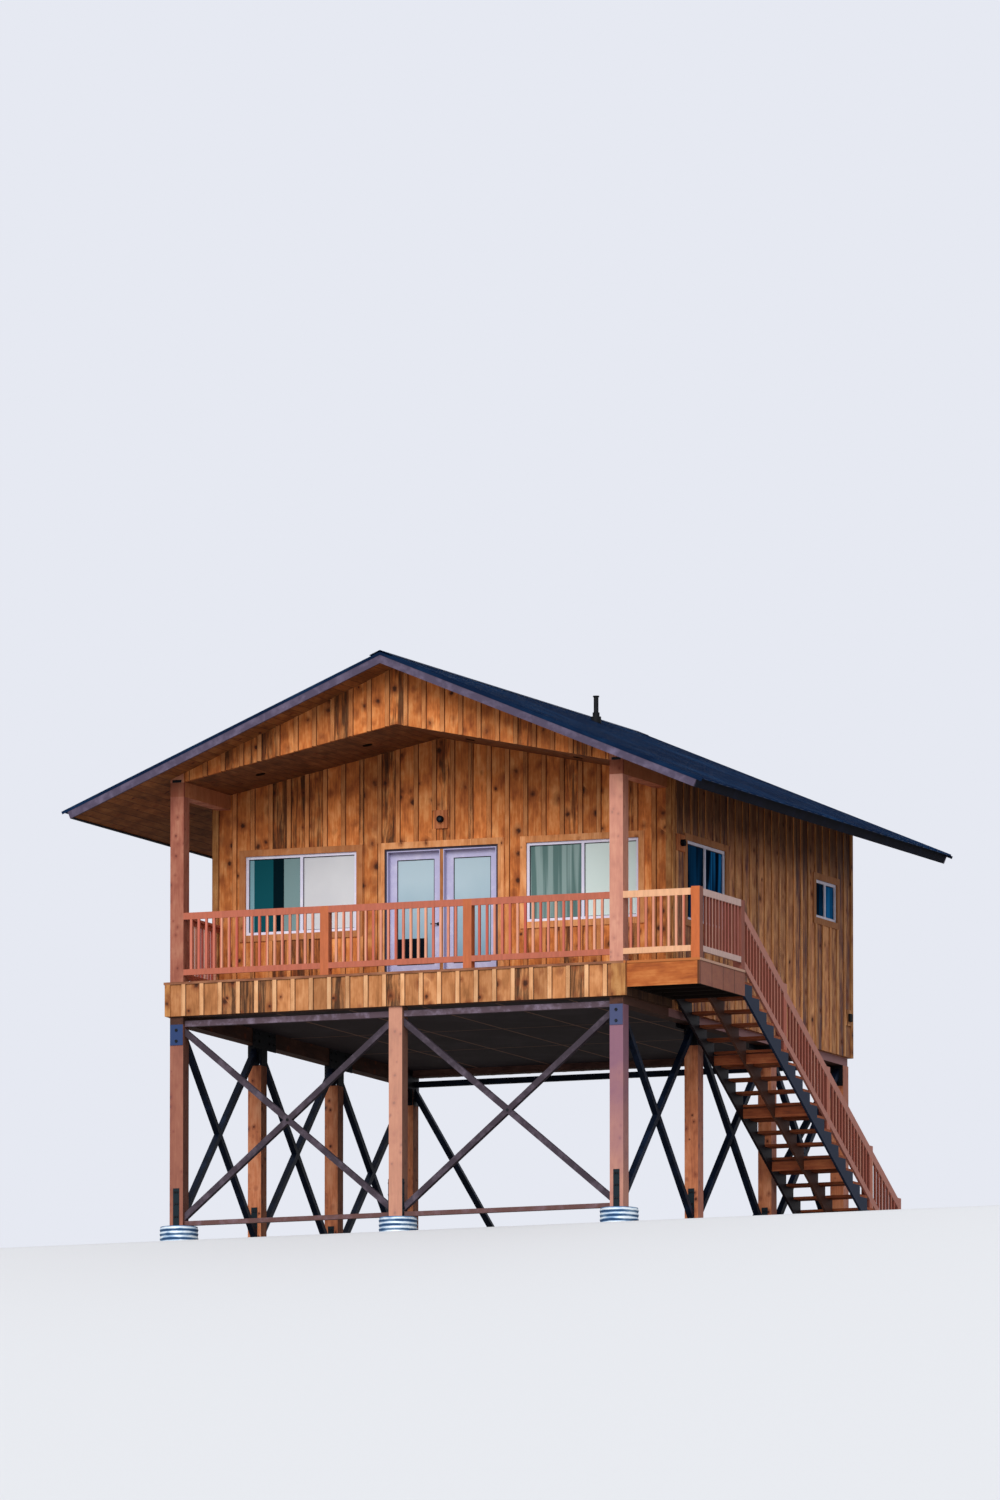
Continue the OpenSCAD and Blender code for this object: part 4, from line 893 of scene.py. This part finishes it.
def boltStuds():
    out, postX, postHalf = bolts["out"], posts["x"], posts["half"]
    studs = []
    for s in (-1, 1):
        studs += [stud(s * postX, porchFront - out, z, "y", bolts["cornerSize"]) for z in bolts["plate"]]
        for row in range(posts["rows"]):
            y = porchFront + row * posts["rowGap"]
            studs += [stud(s * postX + dx, y - out, z, "y")
                      for dx in bolts["strapReach"] for z in bolts["strap"]]
            if row:  # the rows behind the front one
                studs += [stud(s * (postX - postHalf - out), y + postHalf + dy, z, "x")
                          for dy in bolts["knifeReach"] for z in bolts["knife"]
                          if y + postHalf + dy < bolts["knifeEnd"]]
                studs += [stud(s * postX + dx, y - out, z, "y")
                          for dx in bolts["plateReach"] for z in bolts["plate"]]
        studs.append(stud(s * postX / 2, porchFront + bolts["crossingDepth"], bolts["crossing"], "y",
                          bolts["crossingSize"]))
    return studs + [stud(s * (postHalf + out), porchFront + bolts["sideStrap"], z, "x")
                    for s in (-1, 1) for z in bolts["strap"]]


grow("bolts", rodGroup, boltStuds(), "dark_steel", Seed=1,
     Material=steel("boltSteel", "#0d0f14", "#252a33", 0.45))

# Dark brackets above the porch posts
bracket = {"half": 0.075, "depth": 0.008, "low": 0.22, "high": 0.26}
bracketEnds = [postTop + bracket[end] for end in ("low", "high")]
brackets = [block(s * (posts["x"] - bracket["half"]), s * (posts["x"] + bracket["half"]),
                  porchFront - bracket["depth"], porchFront, *bracketEnds) for s in (-1, 1)]
grow("post_brackets", barGroup, brackets, "black_metal", Material=sealPaint, Seed=1)

# Lens of the porch lamp
lens = {"size": 0.05, "depth": 0.006, "height": 2.567, "out": 0.092}
lensPoint = ((0, wall["front"] - lens["out"], deckTop + lens["height"]),
             (lens["size"], lens["size"], lens["depth"]), (math.pi / 2, 0, 0))
grow("lamp_lens", rodGroup, [lensPoint], "glass", Sides=16,
     Material=steel("lensPaint", "#12161c", "#4a5663", 0.3, size=30.0))

# Flashing boot of the vent pipe, as width, middle and height of each ring from the roof up, and the cap
boot = {"rings": ((0.16, 0.05, 0.1), (0.11, 0.13, 0.07)), "capWidth": 0.1, "capHeight": 0.02}


def ventBoot():
    lo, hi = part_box("vent_pipe")
    x, y = (lo.x + hi.x) / 2, (lo.y + hi.y) / 2
    roofAt = roof["metalZ"] - roof["slope"] * x
    rings = [((x, y, roofAt + z), (width, width, height), (0, 0, 0)) for width, z, height in boot["rings"]]
    width, height = boot["capWidth"], boot["capHeight"]
    return rings + [((x, y, hi.z - height / 2), (width, width, height), (0, 0, 0))]


grow("vent_boot", rodGroup, ventBoot(), "black_metal", Sides=20,
     Material=steel("bootRubber", "#0b0c10", "#16181e", 0.6))
print("fittings done")

# Stage: pale floor with a crest in front of the piers and a slope that falls away to the camera
stage = {"colour": "#dcdee3", "bounce": "#8f8a86", "crest": 0.45, "fall": 14.0, "reach": 500.0, "round": 0.6,
         "steps": 12}


def floorProfile():  # y and z from the rear to the front, with the crest as an arc
    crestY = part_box("piers")[0].y - stage["crest"]
    arcY = crestY + stage["round"]
    fall = math.radians(stage["fall"])
    radius = stage["round"] / math.tan(fall / 2)
    profile = [(stage["reach"], 0.0), (arcY, 0.0)]
    for i in range(1, stage["steps"] + 1):
        a = fall * i / stage["steps"]
        profile.append((arcY - radius * math.sin(a), -radius * (1 - math.cos(a))))
    endY, endZ = profile[-1]
    profile.append((endY - stage["reach"], endZ - stage["reach"] * math.tan(fall)))
    return profile


profile = floorProfile()
verts = [(x, y, z) for y, z in profile for x in (-stage["reach"], stage["reach"])]
faces = [(2 * i, 2 * i + 1, 2 * i + 3, 2 * i + 2) for i in range(len(profile) - 1)]
ground = bpy.data.meshes.new("ground")
ground.from_pydata(verts, [], faces)
ground.polygons.foreach_set("use_smooth", [True] * len(ground.polygons))
floor = bpy.data.objects.new("ground", ground)
scene.collection.objects.link(floor)
floorPaint = Paint("floorPaint")
eye = put(floorPaint.tree, "ShaderNodeLightPath").outputs["Is Camera Ray"]
floorColour = floorPaint.blend(eye, stage["bounce"], stage["colour"])
ground.materials.append(floorPaint.surface(floorColour, 0.9, gloss=0.1))

# Soft light from the front, and a sky that is pale to the camera
light = {"sky": 0.64, "skyColour": (0.96, 0.98, 1.0, 1), "backdrop": "#e6e9f2", "sun": 2.4, "sunAngle": 40.0,
         "sunColour": (1.0, 0.985, 0.96), "from": (0.1, -0.86, 0.5)}
world = bpy.data.worlds.new("sky")
scene.world = world
world.use_nodes = True
tree = world.node_tree
tree.nodes.clear()
ray = put(tree, "ShaderNodeLightPath").outputs
seen = ray["Is Camera Ray"]
for kind in ("Is Glossy Ray", "Is Transmission Ray"):
    seen = put(tree, "ShaderNodeMath", {0: seen, 1: ray[kind]}, operation="MAXIMUM").outputs[0]
plain = put(tree, "ShaderNodeBackground", {0: light["skyColour"], 1: light["sky"]}).outputs[0]
pale = put(tree, "ShaderNodeBackground", {0: linear(light["backdrop"]), 1: 1.0}).outputs[0]
sky = put(tree, "ShaderNodeMixShader", {0: seen, 1: plain, 2: pale}).outputs[0]
put(tree, "ShaderNodeOutputWorld", {0: sky})
sun = bpy.data.objects.new("sun", bpy.data.lights.new("sun", "SUN"))
sun.data.energy = light["sun"]
sun.data.angle = math.radians(light["sunAngle"])
sun.data.color = light["sunColour"]
sun.rotation_euler = Vector(light["from"]).to_track_quat("Z", "Y").to_euler()
scene.collection.objects.link(sun)

# Camera of the photograph
view = {"place": (118.225, -285.491, -31.658), "yaw": -0.39317, "pitch": 0.12768, "lens": 480.0, "sensor": 36,
        "far": 2000}
camera = bpy.data.objects.new("camera", bpy.data.cameras.new("camera"))
camera.data.lens = view["lens"]
camera.data.sensor_width = view["sensor"]
camera.data.clip_end = view["far"]
camera.location = view["place"]
level = math.cos(view["pitch"])
aim = Vector((math.sin(view["yaw"]) * level, math.cos(view["yaw"]) * level, math.sin(view["pitch"])))
camera.rotation_euler = aim.to_track_quat("-Z", "Y").to_euler()
scene.collection.objects.link(camera)
scene.camera = camera
scene.view_settings.view_transform = "Standard"
print("stage, light and camera done")
